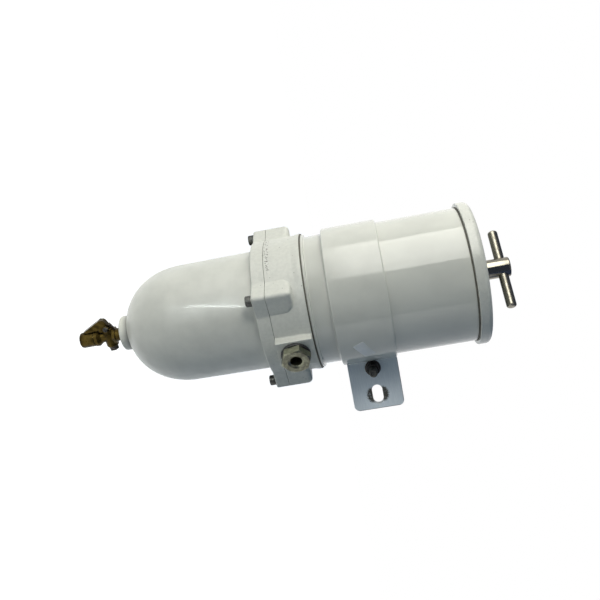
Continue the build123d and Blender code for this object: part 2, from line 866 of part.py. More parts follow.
def build():
    save("drain_body", drain_body())
    save("drain_plug", drain_plug())
    save("drain_lever", drain_lever())
    save("drain_tail_washer", drain_tail_washer())
    save("drain_tail_nut", drain_tail_nut())
    save("drain_stop_screw", drain_stop_screw())
    save("bowl", bowl())
    save("bowl_gasket", bowl_gasket())
    save("bowl_ring", bowl_ring())
    save("bowl_screws", bowl_screws())
    save("body_casting", body_casting())
    save("inlet_adapter", adapter(inlet_azimuth))
    save("outlet_adapter", adapter(outlet_azimuth))
    save("inlet_seal", adapter_seal(inlet_azimuth))
    save("outlet_seal", adapter_seal(outlet_azimuth))
    save("check_ball", check_ball())
    save("ball_cage", ball_cage())
    save("tube_gasket", tube_gasket())
    save("body_tube", body_tube())
    save("clamp_strap", clamp_strap())
    save("clamp_bolt", clamp_bolt())
    save("clamp_nut", clamp_nut())
    save("lid", lid())
    save("lid_gasket", lid_gasket())
    save("handle_seal", handle_seal())
    save("handle_hub", handle_hub())
    save("handle_bar", handle_bar())
    save("return_tube", return_tube())
    save("element_media", element_media())
    save("element_top_cap", element_top_cap())
    save("element_bottom_cap", element_bottom_cap())
    save("element_grommets", element_grommets())
    save("turbine", turbine())
    save("cone_baffle", cone_baffle())
    save("blank_label", blank_label())


build()
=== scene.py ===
"""Fuel water separator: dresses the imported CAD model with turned, cast and sheet metal pieces
and their finishes."""

import math

import bmesh
import bpy
import numpy as np
from bpy.props import FloatProperty, FloatVectorProperty, IntProperty, PointerProperty
from mathutils import Matrix, Vector
from mathutils.geometry import tessellate_polygon


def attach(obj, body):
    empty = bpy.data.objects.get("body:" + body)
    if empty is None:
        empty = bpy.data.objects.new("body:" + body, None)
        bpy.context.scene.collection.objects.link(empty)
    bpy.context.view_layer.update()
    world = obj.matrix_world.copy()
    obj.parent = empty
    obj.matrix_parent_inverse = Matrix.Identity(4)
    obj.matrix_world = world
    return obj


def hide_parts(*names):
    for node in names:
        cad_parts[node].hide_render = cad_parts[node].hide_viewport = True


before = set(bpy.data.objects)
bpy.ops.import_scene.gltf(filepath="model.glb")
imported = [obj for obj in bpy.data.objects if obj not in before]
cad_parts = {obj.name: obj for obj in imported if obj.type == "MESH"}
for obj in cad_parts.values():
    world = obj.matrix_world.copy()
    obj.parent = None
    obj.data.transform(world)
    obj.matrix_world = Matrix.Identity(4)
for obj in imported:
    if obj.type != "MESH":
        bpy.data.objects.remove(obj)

bl_info = {
    "name": "Fuel Water Separator",
    "version": (1, 0, 0),
    "blender": (4, 5, 0),
    "location": "3D View > Sidebar > Separator",
    "description": "Builds the enamelled bowl, casting, tube and lid, their fittings and a plain studio",
    "category": "Object",
}

MM = 0.001

# Azimuths about Z in degrees, counted from +X towards +Y
LOBE_AZIMUTHS = tuple(-17.2 + 90 * i for i in range(4))
INLET_AZIMUTH = 29.3
PORT_AZIMUTHS = {"inlet": INLET_AZIMUTH, "outlet": 209.3}
HANDLE_BAR_AZIMUTH = 54.5
COCK_AZIMUTH = -10.0
CAMERA_AZIMUTH = -10.0
FILLER_AZIMUTH = -62.0

# Seams and shared sizes from the bottom up, in millimetres as are all sizes of pieces
DRAIN_HOLE_RADIUS = 6.55
BOSS_RADIUS = 17.4
BOSS_FACE_Z = 45.4
BOSS_ROOT_Z = 54.8
DOME_CENTRE_Z = 115.0
DOME_POWER = 2.1
RING_BASE_Z = 191.1
FLANGE_BASE_Z = 197.0
BOWL_TOP_Z = 202.0
SCREW_CIRCLE_RADIUS = 70.5
CASTING_BASE_Z = 203.8
CASTING_TOP_Z = 237.8
TUBE_BASE_Z = 239.0
TUBE_TOP_Z = 387.0
LID_RIM_Z = 388.2
LID_TOP_Z = 399.3
HUB_BASE_Z = 400.2

# Casting and its ports
CASTING_RADIUS = 66.0
CASTING_INNER_RADIUS = 58.0
FLARE_BASE_Z, FLARE_RISE, FLARE_WIDTH = 229.5, 6.5, 0.8
LOBE_NOSE_CENTRE, LOBE_NOSE_RADIUS = 74.9, 3.6
LOBE_START = 45.0
LOBE_HALF_WIDTH = 15.5
LOBE_TOP_Z, LOBE_TOP_ROUND = 227.4, 5.6
LOBE_END_ROUND, LOBE_BLEND = 11.0, 2.0
BLOCK_REACH = 71.5
BLOCK_HALF_WIDTH = 15.5
BLOCK_TOP_Z = 237.5
BLOCK_EDGE, BLOCK_FILLET = 0.8, 1.6
PORT_Z = 220.0
PORT_HOLE_RADIUS = 10.0
ADAPTER_FOOT = 74.3

# Clamp strap and its ear, whose places are given as distance from the axis and height
STRAP_INNER_RADIUS, STRAP_RADIUS = 64.45, 67.5
STRAP_BASE_Z, STRAP_TOP_Z = 258.6, 311.0
LEAF_INNER, LEAF_FACE = 0.3, 3.3
EAR_REACH = 118.9
EAR_BASE_Z, EAR_TOP_Z = 260.8, 310.8
SLOT_CENTRE = (104.2, 286.0)
BOLT_CENTRE = (76.4, 285.5)
# Axes of the ear: x runs out into it, y up and z across the split between its leaves
EAR_AXES = Matrix(((0, 0, 1, 0), (1, 0, 0, 0), (0, 1, 0, 0), (0, 0, 0, 1)))

# Angle in degrees from which an edge is softened
SHARP_ANGLE = 28.0

# Distance where an outline doesn't reach, halvings of a ray's last step, and step for a slope
FAR_OFF = 1000.0
HALVINGS = 16
SLOPE_STEP = 1e-3


# Sizes and colours that a user would change

def millimetres(name, description, default, low, high):
    return FloatProperty(name=name, description=description, default=default, min=low, max=high)


def power(name, description, default):
    return FloatProperty(name=name, description=description, default=default, min=0.0, unit="POWER")


def colour(name, description, default):
    return FloatVectorProperty(
        name=name, description=description, default=default, size=3, subtype="COLOR", min=0.0, max=1.0)


class SeparatorSizes(bpy.types.PropertyGroup):
    """Edge roundings and mesh fineness, in millimetres and counts"""

    round_steps: IntProperty(
        name="Round steps", description="Straight edges in one turn of the large round pieces",
        default=256, min=32, max=512)
    cast_fillet: millimetres(
        "Cast fillet", "Radius in the inner corners of the casting and its ring", 1.0, 0.2, 5.0)
    plate_edge: millimetres("Plate edge", "Rounding along the edges of the strap's ear", 0.35, 0.05, 1.0)
    bend_radius: millimetres("Bend radius", "Radius where the strap bends out into its ear", 3.0, 0.5, 6.0)


class SeparatorColours(bpy.types.PropertyGroup):
    """Base colours of the finishes"""

    enamel: colour("Enamel", "White enamel of the castings, the tube and the strap", (0.72, 0.72, 0.665))
    # This colour goes where nearby surfaces hem a point in: painted shade in corners and joints, with some
    # soiling.
    shade_and_soiling: colour("Shade and soiling", "Dirt that gathers in seams and corners", (0.075, 0.068, 0.052))
    brass: colour("Brass", "Dull turned brass of the drain cock", (0.068, 0.047, 0.012))
    tarnish: colour("Tarnish", "Brown tarnish on the brass", (0.012, 0.008, 0.0025))
    plain_steel: colour("Plain steel", "Washer and nut of the drain cock", (0.075, 0.067, 0.062))
    dark_steel: colour("Dark steel", "Blackened screws, bolt and nut", (0.045, 0.047, 0.045))
    zinc: colour("Yellow zinc", "Yellow passivated zinc of the port adapters", (0.27, 0.275, 0.20))
    # Kept far darker than real chrome: painted shade for the dark room that the plating mirrors.
    chrome: colour("Chrome", "Bright plating of the handle", (0.26, 0.245, 0.20))
    rubber: colour("Rubber", "Gaskets and seals", (0.022, 0.020, 0.017))
    aluminium: colour("Aluminium", "Turned inner pieces", (0.66, 0.67, 0.68))
    paper: colour("Paper", "Filter paper", (0.56, 0.44, 0.24))
    plastic: colour("Plastic", "Moulded inner pieces", (0.07, 0.072, 0.075))
    label: colour("Label", "Blank film label on the strap", (0.775, 0.78, 0.735))


class SeparatorStudio(bpy.types.PropertyGroup):
    """Lamps and floor"""

    key_power: power("Key lamp", "Power of the lamp that models the shapes", 3.15)
    front_power: power("Front lamp", "Power of the lamp above the camera", 4.3)
    top_power: power("Top lamp", "Power of the lamp over the far side", 2.54)
    soft_box_power: power("Soft box", "Power of the wide lamp that the enamel mirrors", 7.9)
    low_box_power: power("Low soft box", "Power of the wide lamp that the bowl mirrors", 3.8)
    ear_power: power("Ear spot", "Power of the spot on the ear of the strap", 8.0)
    boss_power: power("Boss spot", "Power of the spot on the boss of the bowl", 9.0)
    strip_power: power("Strip lamp", "Power of the small lamp that the bowl mirrors", 1.5)
    fill: FloatProperty(
        name="Fill", description="Strength of the light from all round", default=0.185, min=0.0, max=1.0)
    floor_drop: FloatProperty(
        name="Floor drop", description="How far the floor lies under the drain cock", default=0.15,
        min=0.0, unit="LENGTH")


# Directions about Z

def direction(azimuth):
    a = math.radians(azimuth)
    return math.cos(a), math.sin(a)


def out_and_aside(azimuth, x, y):
    """How far a point lies out along an azimuth, and aside from it."""
    c, s = direction(azimuth)
    return x * c + y * s, -x * s + y * c


def full_turn(steps):
    return np.linspace(0, 2 * math.pi, steps, endpoint=False)


# Shells: vertices, faces and a normal for each vertex, in millimetres

def join_shells(shells):
    points, faces, normals, start = [], [], [], 0
    for verts, polys, norms in shells:
        points.append(np.asarray(verts, float))
        normals.append(np.asarray(norms, float))
        faces.extend([tuple(i + start for i in f) for f in polys])
        start += len(verts)
    return np.vstack(points), faces, np.vstack(normals)


def moved(shell, matrix):
    verts, faces, normals = shell
    m = np.array(matrix)
    verts = np.asarray(verts) @ m[:3, :3].T + m[:3, 3]
    return verts, faces, np.asarray(normals) @ m[:3, :3].T


def softened(corners, closed=True, turn_step=15.0):
    """Profile with rounded corners: each corner is (r, z, radius), or (r, z, None) for a point on a
    smooth curve."""
    count = len(corners)
    out = []
    for i, (r, z, radius) in enumerate(corners):
        here = np.array([r, z], float)
        first, last = i == 0 and not closed, i == count - 1 and not closed
        before = np.array(corners[i - 1][:2], float)
        after = np.array(corners[(i + 1) % count][:2], float)
        into = here - before
        away = after - here
        if first:
            into = away
        if last:
            away = into
        into_length, away_length = np.linalg.norm(into), np.linalg.norm(away)
        into, away = into / into_length, away / away_length
        n_in, n_out = np.array([into[1], -into[0]]), np.array([away[1], -away[0]])
        turn = math.atan2(into[0] * away[1] - into[1] * away[0], float(into @ away))
        if first or last or radius is None or abs(turn) < 1e-4:
            n = n_in + n_out
            n = n / np.linalg.norm(n)
            out.append((here[0], here[1], n[0], n[1]))
        elif radius <= 0:
            out.append((here[0], here[1], n_in[0], n_in[1]))
            out.append((here[0], here[1], n_out[0], n_out[1]))
        else:
            side = 1.0 if turn > 0 else -1.0
            reach = min(radius * math.tan(abs(turn) / 2), 0.49 * into_length, 0.49 * away_length)
            bend = reach / math.tan(abs(turn) / 2)
            start = here - into * reach
            centre = start - side * bend * n_in
            steps = max(2, int(math.ceil(abs(math.degrees(turn)) / turn_step)))
            for k in range(steps + 1):
                a = turn * k / steps
                c, s = math.cos(a), math.sin(a)
                n = np.array([n_in[0] * c - n_in[1] * s, n_in[0] * s + n_in[1] * c])
                p = centre + side * bend * n
                out.append((p[0], p[1], n[0], n[1]))
    return out


def ring_faces(rows, count, closed_rows=False, closed_ring=True, flip=False):
    """Four-sided faces between neighbouring rows of count points."""
    faces = []
    for i in range(rows if closed_rows else rows - 1):
        j = (i + 1) % rows
        for k in range(count if closed_ring else count - 1):
            n = (k + 1) % count
            a, b, c, d = i * count + k, i * count + n, j * count + n, j * count + k
            faces.append((a, d, c, b) if flip else (a, b, c, d))
    return faces


def summed_normals(verts, faces):
    normals = np.zeros_like(verts)
    for f in faces:
        a, b, c, d = (verts[i] for i in f)
        normals[list(f)] += np.cross(c - a, d - b)
    return normals


def ringed(rings, angle, flip=False):
    """Shell of rings, each given as radii and heights at the angles about Z and joined to the next."""
    c, s = np.cos(angle), np.sin(angle)
    verts = np.vstack([np.column_stack([r * c, r * s, np.broadcast_to(z, len(angle))]) for r, z in rings])
    faces = ring_faces(len(rings), len(angle), flip=flip)
    return verts, faces, summed_normals(verts, faces)


def spun(profile, angle):
    """Vertices and normals of a profile of (r, z, normal r, normal z) at each angle about Z."""
    c, s = np.cos(angle), np.sin(angle)
    verts, normals = [], []
    for r, z, nr, nz in profile:
        verts.append(np.column_stack([r * c, r * s, np.full(len(angle), z)]))
        normals.append(np.column_stack([nr * c, nr * s, np.full(len(angle), nz)]))
    return np.vstack(verts), np.vstack(normals)


def turned(corners, steps, closed=True, turn_step=15.0):
    """Lathe: a profile, given by its corners as softened takes them, turned about Z."""
    profile = softened(corners, closed, turn_step)
    verts, normals = spun(profile, full_turn(steps))
    faces = []
    count = len(profile)
    for i in range(count if closed else count - 1):
        j = (i + 1) % count
        if math.dist(profile[i][:2], profile[j][:2]) < 1e-7:
            continue
        low_pole, high_pole = profile[i][0] < 1e-6, profile[j][0] < 1e-6
        if low_pole and high_pole:
            continue
        for k in range(steps):
            n = (k + 1) % steps
            a, b, d, e = i * steps + k, i * steps + n, j * steps + n, j * steps + k
            if low_pole:
                faces.append((a, d, e))
            elif high_pole:
                faces.append((a, b, e))
            else:
                faces.append((a, b, d, e))
    return verts, faces, normals


def cylinder_shell(radius, low, high, edge, steps, inner=0.0, turn_step=15.0):
    corners = [(inner, low, 0.0), (radius, low, edge), (radius, high, edge), (inner, high, 0.0)]
    return turned(corners, steps, inner > 0, turn_step)


def hexagon_radii(across, angle):
    """Radius of a hexagon's outline at each angle."""
    return across / 2 / np.cos(angle % (math.pi / 3) - math.pi / 6)


def loop_plate(loops, low, high, low_edge, high_edge, steps=4):
    """Flat plate with rounded edges between two heights. loops are arrays of x, y, normal x and
    normal y, the outline first and then its holes."""
    turn = [math.pi / 2 * k / steps for k in range(steps + 1)]
    rise = [(low_edge * (1 - math.sin(a)), low + low_edge * (1 - math.cos(a)), math.sin(a), -math.cos(a))
            for a in turn]
    rise += [(high_edge * (1 - math.cos(a)), high - high_edge * (1 - math.sin(a)), math.cos(a), math.sin(a))
             for a in turn]
    verts, normals, faces = [], [], []
    start = 0
    low_loops, high_loops, low_index, high_index = [], [], [], []
    for loop in loops:
        loop = np.asarray(loop, float)
        count = len(loop)
        for inset, height, across, up in rise:
            p = loop[:, :2] - inset * loop[:, 2:]
            verts.append(np.column_stack([p, np.full(count, height)]))
            normals.append(np.column_stack([across * loop[:, 2:], np.full(count, up)]))
        for i in range(len(rise) - 1):
            if abs(rise[i][0] - rise[i + 1][0]) + abs(rise[i][1] - rise[i + 1][1]) < 1e-9:
                continue
            for k in range(count):
                n = (k + 1) % count
                a, b = start + i * count + k, start + i * count + n
                faces.append((a, b, b + count, a + count))
        top = start + (len(rise) - 1) * count
        low_loops.append([Vector((*verts[-len(rise)][k][:2], 0)) for k in range(count)])
        high_loops.append([Vector((*verts[-1][k][:2], 0)) for k in range(count)])
        low_index.extend(range(start, start + count))
        high_index.extend(range(top, top + count))
        start += len(rise) * count
    for flat_loops, index in ((low_loops, low_index), (high_loops, high_index)):
        for tri in tessellate_polygon(flat_loops):
            faces.append(tuple(index[i] for i in tri))
    return np.vstack(verts), faces, np.vstack(normals)


def circle_loop(radius, steps, centre=(0.0, 0.0), hole=False):
    c, s = np.cos(full_turn(steps)), np.sin(full_turn(steps))
    side = -1.0 if hole else 1.0
    return np.column_stack([centre[0] + radius * c, centre[1] + radius * s, side * c, side * s])


def slot_loop(length, width, centre, steps=24):
    """Hole with round ends, long in x."""
    half, r = (length - width) / 2, width / 2
    out = []
    for side, start in ((1, -90), (-1, 90)):
        for k in range(steps + 1):
            a = math.radians(start + 180 * k / steps)
            c, s = math.cos(a), math.sin(a)
            out.append((centre[0] + side * half + r * c, centre[1] + r * s, -c, -s))
    return np.array(out)


def corner_loop(low, high, radii, steps=10):
    """Rectangle from low to high whose corners, from the low one anticlockwise, have these radii."""
    spots = [(low[0], low[1], 180), (high[0], low[1], 270), (high[0], high[1], 0), (low[0], high[1], 90)]
    out = []
    for (x, y, start), r in zip(spots, radii):
        cx = x + (r if x == low[0] else -r)
        cy = y + (r if y == low[1] else -r)
        for k in range(steps + 1):
            a = math.radians(start + 90 * k / steps)
            out.append((cx + r * math.cos(a), cy + r * math.sin(a), math.cos(a), math.sin(a)))
    return np.array(out)


def straightened(verts, faces, normals):
    """Turns each face so that it looks the way its vertices' normals do."""
    out = []
    for f in faces:
        a, b, c = verts[f[0]], verts[f[1]], verts[f[2]]
        n = np.cross(b - a, c - a)
        if len(f) == 4:
            n = n + np.cross(c - a, verts[f[3]] - a)
        want = normals[list(f)].sum(0)
        out.append(f if n @ want >= 0 else tuple(reversed(f)))
    return out


def linked_object(name, data):
    obj = bpy.data.objects.new(name, data)
    bpy.context.scene.collection.objects.link(obj)
    return obj


def unit_rows(normals):
    lengths = np.linalg.norm(normals, axis=1)
    lengths[lengths < 1e-9] = 1.0
    return normals / lengths[:, None]


def soften_node(obj, bevel):
    """Rounds the sharp edges of a mesh by modifiers alone, so that a CAD mesh stays as it is."""
    weld = obj.modifiers.new("Weld", "WELD")
    weld.merge_threshold = 2e-6
    edge = obj.modifiers.new("Edge", "BEVEL")
    edge.width = bevel * MM
    edge.segments = 2
    edge.limit_method = "ANGLE"
    edge.angle_limit = math.radians(SHARP_ANGLE)
    edge.use_clamp_overlap = True
    smooth = obj.modifiers.new("Normals", "WEIGHTED_NORMAL")
    smooth.keep_sharp = False
    smooth.weight = 60


def outward(azimuth, z=0.0):
    """Local frame of part.py at a height: X runs up, Z runs out along the azimuth."""
    out = Vector((*direction(azimuth), 0))
    up = Vector((0, 0, 1))
    m = Matrix((up, out.cross(up), out)).transposed().to_4x4()
    m[2][3] = z
    return m


def at(azimuth, radius):
    c, s = direction(azimuth)
    return Matrix.Translation((radius * c, radius * s, 0))


# Cast outlines by blended distances

def blend_min(a, b, radius):
    h = np.maximum(radius - np.abs(a - b), 0.0) / radius
    return np.minimum(a, b) - h * h * radius / 4


def round_corner(p, q, radius):
    """Distance to a corner whose two sides are at p = 0 and q = 0, rounded."""
    p, q = p + radius, q + radius
    out = np.hypot(np.maximum(p, 0), np.maximum(q, 0))
    return out + np.minimum(np.maximum(p, q), 0) - radius


def nearest_lobe(x, y):
    """Distance to the lobes' outline, each a small round nose between two flanks at 45 degrees, and
    the distance from the nearest lobe's middle plane."""
    near, off = None, None
    for azimuth in LOBE_AZIMUTHS:
        along, aside = out_and_aside(azimuth, x, y)
        aside = np.abs(aside)
        beyond = along - LOBE_NOSE_CENTRE
        flank = (beyond + aside) * math.sqrt(0.5) - LOBE_NOSE_RADIUS
        nose = np.hypot(beyond, aside) - LOBE_NOSE_RADIUS
        d = np.where(aside < beyond, nose, flank)
        d = np.where(along > LOBE_START, d, FAR_OFF)
        off = aside if near is None else np.where(d < near, aside, off)
        near = d if near is None else np.minimum(near, d)
    return near, off


def ring_distance(x, y, z, fillet):
    """Distance to the clamp ring's outline, which is the same at every height z."""
    return blend_min(np.hypot(x, y) - CASTING_RADIUS, nearest_lobe(x, y)[0], fillet)


def casting_distance(x, y, z, fillet):
    flare = np.clip((z - FLARE_BASE_Z) / FLARE_RISE, 0.0, 1.0)
    shape = np.hypot(x, y) - CASTING_RADIUS - FLARE_WIDTH * flare * flare * (3 - 2 * flare)
    lobe, aside = nearest_lobe(x, y)
    lobes = round_corner(lobe, z - LOBE_TOP_Z, LOBE_TOP_ROUND)
    ends = round_corner(aside - LOBE_HALF_WIDTH, z - LOBE_TOP_Z, LOBE_END_ROUND)
    lobes = -blend_min(-lobes, -ends, LOBE_BLEND)
    shape = blend_min(shape, lobes, fillet)
    for azimuth in PORT_AZIMUTHS.values():
        out, aside = out_and_aside(azimuth, x, y)
        p = out - BLOCK_REACH + BLOCK_EDGE
        q = np.abs(aside) - BLOCK_HALF_WIDTH + BLOCK_EDGE
        s = z - BLOCK_TOP_Z + BLOCK_EDGE
        corner = np.sqrt(np.maximum(p, 0) ** 2 + np.maximum(q, 0) ** 2 + np.maximum(s, 0) ** 2)
        block = corner + np.minimum(np.maximum(np.maximum(p, q), s), 0) - BLOCK_EDGE
        shape = blend_min(shape, np.where(out > 0, block, FAR_OFF), BLOCK_FILLET)
    return shape


def reach_of(distance, angles, z, fillet, start=84.0, end=62.0, step=0.2):
    """How far out the surface lies along each ray from the axis, and its normals."""
    c, s = np.cos(angles), np.sin(angles)
    radii = np.arange(start, end, -step)[:, None]
    first = np.argmax(distance(radii * c, radii * s, z, fillet) < 0, axis=0)
    within = radii[first, 0]
    beyond = within + step
    for _ in range(HALVINGS):
        r = (within + beyond) / 2
        solid = distance(r * c, r * s, z, fillet) < 0
        within, beyond = np.where(solid, r, within), np.where(solid, beyond, r)
    e = SLOPE_STEP
    x, y = r * c, r * s
    gx = distance(x + e, y, z, fillet) - distance(x - e, y, z, fillet)
    gy = distance(x, y + e, z, fillet) - distance(x, y - e, z, fillet)
    gz = distance(x, y, z + e, fillet) - distance(x, y, z - e, fillet)
    n = np.stack([gx, gy, gz], -1)
    return r, n / np.linalg.norm(n, axis=-1, keepdims=True)


def outline_angles(ports):
    """Angles round the casting, closer together where its lobes and ports stand out."""
    angles = set()

    def add(azimuth, turns):
        angles.update(round((azimuth + k) % 360, 3) for k in turns)

    add(0.0, np.arange(240) * 1.5)
    for azimuth in LOBE_AZIMUTHS:
        for low, high, count in ((-3.6, 3.6, 25), (3.8, 12.8, 19), (13.0, 15.4, 13)):
            turns = np.linspace(low, high, count)
            add(azimuth, turns)
            add(azimuth, -turns)
    if ports:
        face = np.linspace(-BLOCK_HALF_WIDTH, BLOCK_HALF_WIDTH, 41)
        corner = np.linspace(11.9, 15.0, 24)
        for azimuth in PORT_AZIMUTHS.values():
            add(azimuth, np.degrees(np.arctan2(face, BLOCK_REACH)))
            add(azimuth, corner)
            add(azimuth, -corner)
    return np.radians(np.array(sorted(angles)))


def ring_outline(fillet):
    angles = outline_angles(False)
    r, n = reach_of(ring_distance, angles, np.zeros_like(angles), fillet)
    flat = n[:, :2] / np.linalg.norm(n[:, :2], axis=1, keepdims=True)
    return np.column_stack([r * np.cos(angles), r * np.sin(angles), flat])


# Shader helpers

class Nodes:
    """Adds and links nodes in one tree."""

    def __init__(self, tree):
        self.tree = tree
        tree.nodes.clear()
        self.x = -1400

    def add(self, kind, **values):
        node = self.tree.nodes.new(kind)
        node.location = (self.x, 0)
        self.x += 60
        for key, value in values.items():
            if key in node.inputs.keys():
                node.inputs[key].default_value = value
            else:
                setattr(node, key, value)
        return node

    def link(self, source, target):
        self.tree.links.new(source, target)

    def feed(self, value, target):
        """Links a node's output to the target, or gives the target a plain value."""
        if hasattr(value, "is_linked"):
            self.link(value, target)
        else:
            target.default_value = value

    def math(self, operation, a, b=None, clamp=False):
        node = self.add("ShaderNodeMath", operation=operation, use_clamp=clamp)
        self.feed(a, node.inputs[0])
        if b is not None:
            self.feed(b, node.inputs[1])
        return node.outputs[0]

    def dot(self, a, b):
        node = self.add("ShaderNodeVectorMath", operation="DOT_PRODUCT")
        self.feed(a, node.inputs[0])
        self.feed(b, node.inputs[1])
        return node.outputs["Value"]

    def mix(self, factor, a, b):
        node = self.add("ShaderNodeMix", data_type="RGBA")
        self.feed(factor, node.inputs[0])
        for value, slot in ((a, node.inputs[6]), (b, node.inputs[7])):
            self.feed(value if hasattr(value, "is_linked") else (*value[:3], 1.0), slot)
        return node.outputs[2]

    def ramp(self, source, low, high, start=0.0, end=1.0):
        node = self.add("ShaderNodeMapRange", clamp=True)
        self.link(source, node.inputs[0])
        for slot, value in zip(list(node.inputs)[1:5], (low, high, start, end)):
            slot.default_value = value
        return node.outputs[0]

    def noise(self, vector, scale, detail=3.0, roughness=0.55):
        node = self.add("ShaderNodeTexNoise", Detail=detail, Roughness=roughness)
        self.link(vector, node.inputs["Vector"])
        self.feed(scale, node.inputs["Scale"])
        return node.outputs["Fac"]

    def place(self):
        return self.add("ShaderNodeTexCoord").outputs["Object"]

    def split(self, vector):
        node = self.add("ShaderNodeSeparateXYZ")
        self.link(vector, node.inputs[0])
        return node.outputs

    def length(self, a, b):
        squares = self.math("ADD", self.math("MULTIPLY", a, a), self.math("MULTIPLY", b, b))
        return self.math("SQRT", squares)

    def along(self, vector, azimuth):
        return self.dot(vector, (*direction(azimuth), 0.0))


def effect_group(name, inputs, outputs):
    """New node group of plain numbers: its inputs with their defaults, and its outputs."""
    tree = bpy.data.node_groups.new(name, "ShaderNodeTree")
    for label, default in inputs.items():
        socket = tree.interface.new_socket(name=label, in_out="INPUT", socket_type="NodeSocketFloat")
        socket.default_value = default
    for label in outputs:
        tree.interface.new_socket(name=label, in_out="OUTPUT", socket_type="NodeSocketFloat")
    nodes = Nodes(tree)
    return tree, nodes, nodes.add("NodeGroupInput").outputs, nodes.add("NodeGroupOutput").inputs


def surface_grain_group():
    """Fine unevenness of paint or cast metal: a height and a slow mottle."""
    tree, n, given, result = effect_group(
        "Surface grain", {"Fine scale": 900.0, "Broad scale": 60.0, "Broad share": 0.5},
        ("Height", "Mottle"))
    place = n.place()
    fine = n.noise(place, given["Fine scale"], 2.0, 0.5)
    broad = n.noise(place, given["Broad scale"], 3.0, 0.5)
    n.link(n.math("ADD", fine, n.math("MULTIPLY", broad, given["Broad share"])), result["Height"])
    n.link(broad, result["Mottle"])
    return tree


def seam_shade_and_soiling_group():
    """Painted shade, with some soiling, where surfaces meet: a mask from nearby surfaces, broken up by
    noise.
    """
    tree, n, given, result = effect_group("Seam shade and soiling", {"Reach": 0.0025, "Amount": 1.0}, ("Mask",))
    near = n.add("ShaderNodeAmbientOcclusion", samples=6, only_local=False)
    n.link(given["Reach"], near.inputs["Distance"])
    patches = n.ramp(n.noise(n.place(), 240.0, 4.0, 0.65), 0.3, 0.7, 0.35, 1.0)
    mask = n.math("MULTIPLY", n.ramp(near.outputs["AO"], 0.62, 0.12), patches)
    n.link(n.math("MULTIPLY", mask, given["Amount"], clamp=True), result["Mask"])
    return tree


def rubbed_edge_and_glint_group():
    """Rubbed edges with a painted glint: a mask where the surface turns sharply, broken up by noise."""
    tree, n, given, result = effect_group("Rubbed edges and glint", {"Width": 0.0006, "Amount": 1.0}, ("Mask",))
    bevel = n.add("ShaderNodeBevel", samples=6)
    n.link(given["Width"], bevel.inputs["Radius"])
    flat = n.add("ShaderNodeNewGeometry")
    edge = n.ramp(n.dot(bevel.outputs["Normal"], flat.outputs["Normal"]), 0.995, 0.80)
    mask = n.math("MULTIPLY", edge, n.ramp(n.noise(n.place(), 520.0, 3.0, 0.6), 0.42, 0.62))
    n.link(n.math("MULTIPLY", mask, given["Amount"], clamp=True), result["Mask"])
    return tree


def speck_group():
    """Small dark specks and nibs scattered over a painted surface."""
    tree, n, given, result = effect_group(
        "Specks", {"Spacing": 130.0, "Size": 0.10, "Share": 0.5}, ("Mask",))
    cells = n.add("ShaderNodeTexVoronoi", feature="F1")
    n.link(n.place(), cells.inputs["Vector"])
    n.link(given["Spacing"], cells.inputs["Scale"])
    dot = n.math("LESS_THAN", cells.outputs["Distance"], given["Size"])
    chosen = n.add("ShaderNodeSeparateColor")
    n.link(cells.outputs["Color"], chosen.inputs[0])
    few = n.math("LESS_THAN", chosen.outputs[0], given["Share"])
    n.link(n.math("MULTIPLY", dot, few), result["Mask"])
    return tree


EFFECTS = {}


def effect(nodes, name, **values):
    """Places an effect group in a material with its own values."""
    node = nodes.add("ShaderNodeGroup")
    node.node_tree = EFFECTS[name]
    for key, value in values.items():
        node.inputs[key.replace("_", " ").capitalize()].default_value = value
    return node.outputs


def bare_material(name):
    material = bpy.data.materials.new(name)
    material.use_nodes = True
    return material, Nodes(material.node_tree)


def start_material(name):
    material, nodes = bare_material(name)
    shader = nodes.add("ShaderNodeBsdfPrincipled")
    result = nodes.add("ShaderNodeOutputMaterial")
    nodes.link(shader.outputs[0], result.inputs[0])
    return material, nodes, shader


def feed_shader(n, shader, colour, roughness, height, depth, **values):
    """Feeds a shader its colour, roughness and bumps of a depth in metres, and sets its other inputs."""
    n.link(colour, shader.inputs["Base Color"])
    n.link(roughness, shader.inputs["Roughness"])
    for key, value in values.items():
        shader.inputs[key.replace("_", " ")].default_value = value
    bump = n.add("ShaderNodeBump", Strength=1.0, Distance=depth)
    n.link(height, bump.inputs["Height"])
    n.link(bump.outputs[0], shader.inputs["Normal"])


def mottled_enamel(n, fine, broad):
    """Grain of an enamel with fine and broad scales, and its slightly mottled colour."""
    grain = effect(n, "Surface grain", fine_scale=fine, broad_scale=broad, broad_share=1.6)
    white = tuple(bpy.context.scene.separator_colours.enamel)
    return grain, n.mix(n.ramp(grain["Mottle"], 0.35, 0.65), white, tuple(c * 0.93 for c in white))


def with_seam_shade_and_soiling(n, base, shade_and_soiling, reach, amount):
    """Colour with painted shade and soiling in the seams, and their mask."""
    mask = effect(n, "Seam shade and soiling", reach=reach, amount=amount)["Mask"]
    return n.mix(mask, base, shade_and_soiling), mask


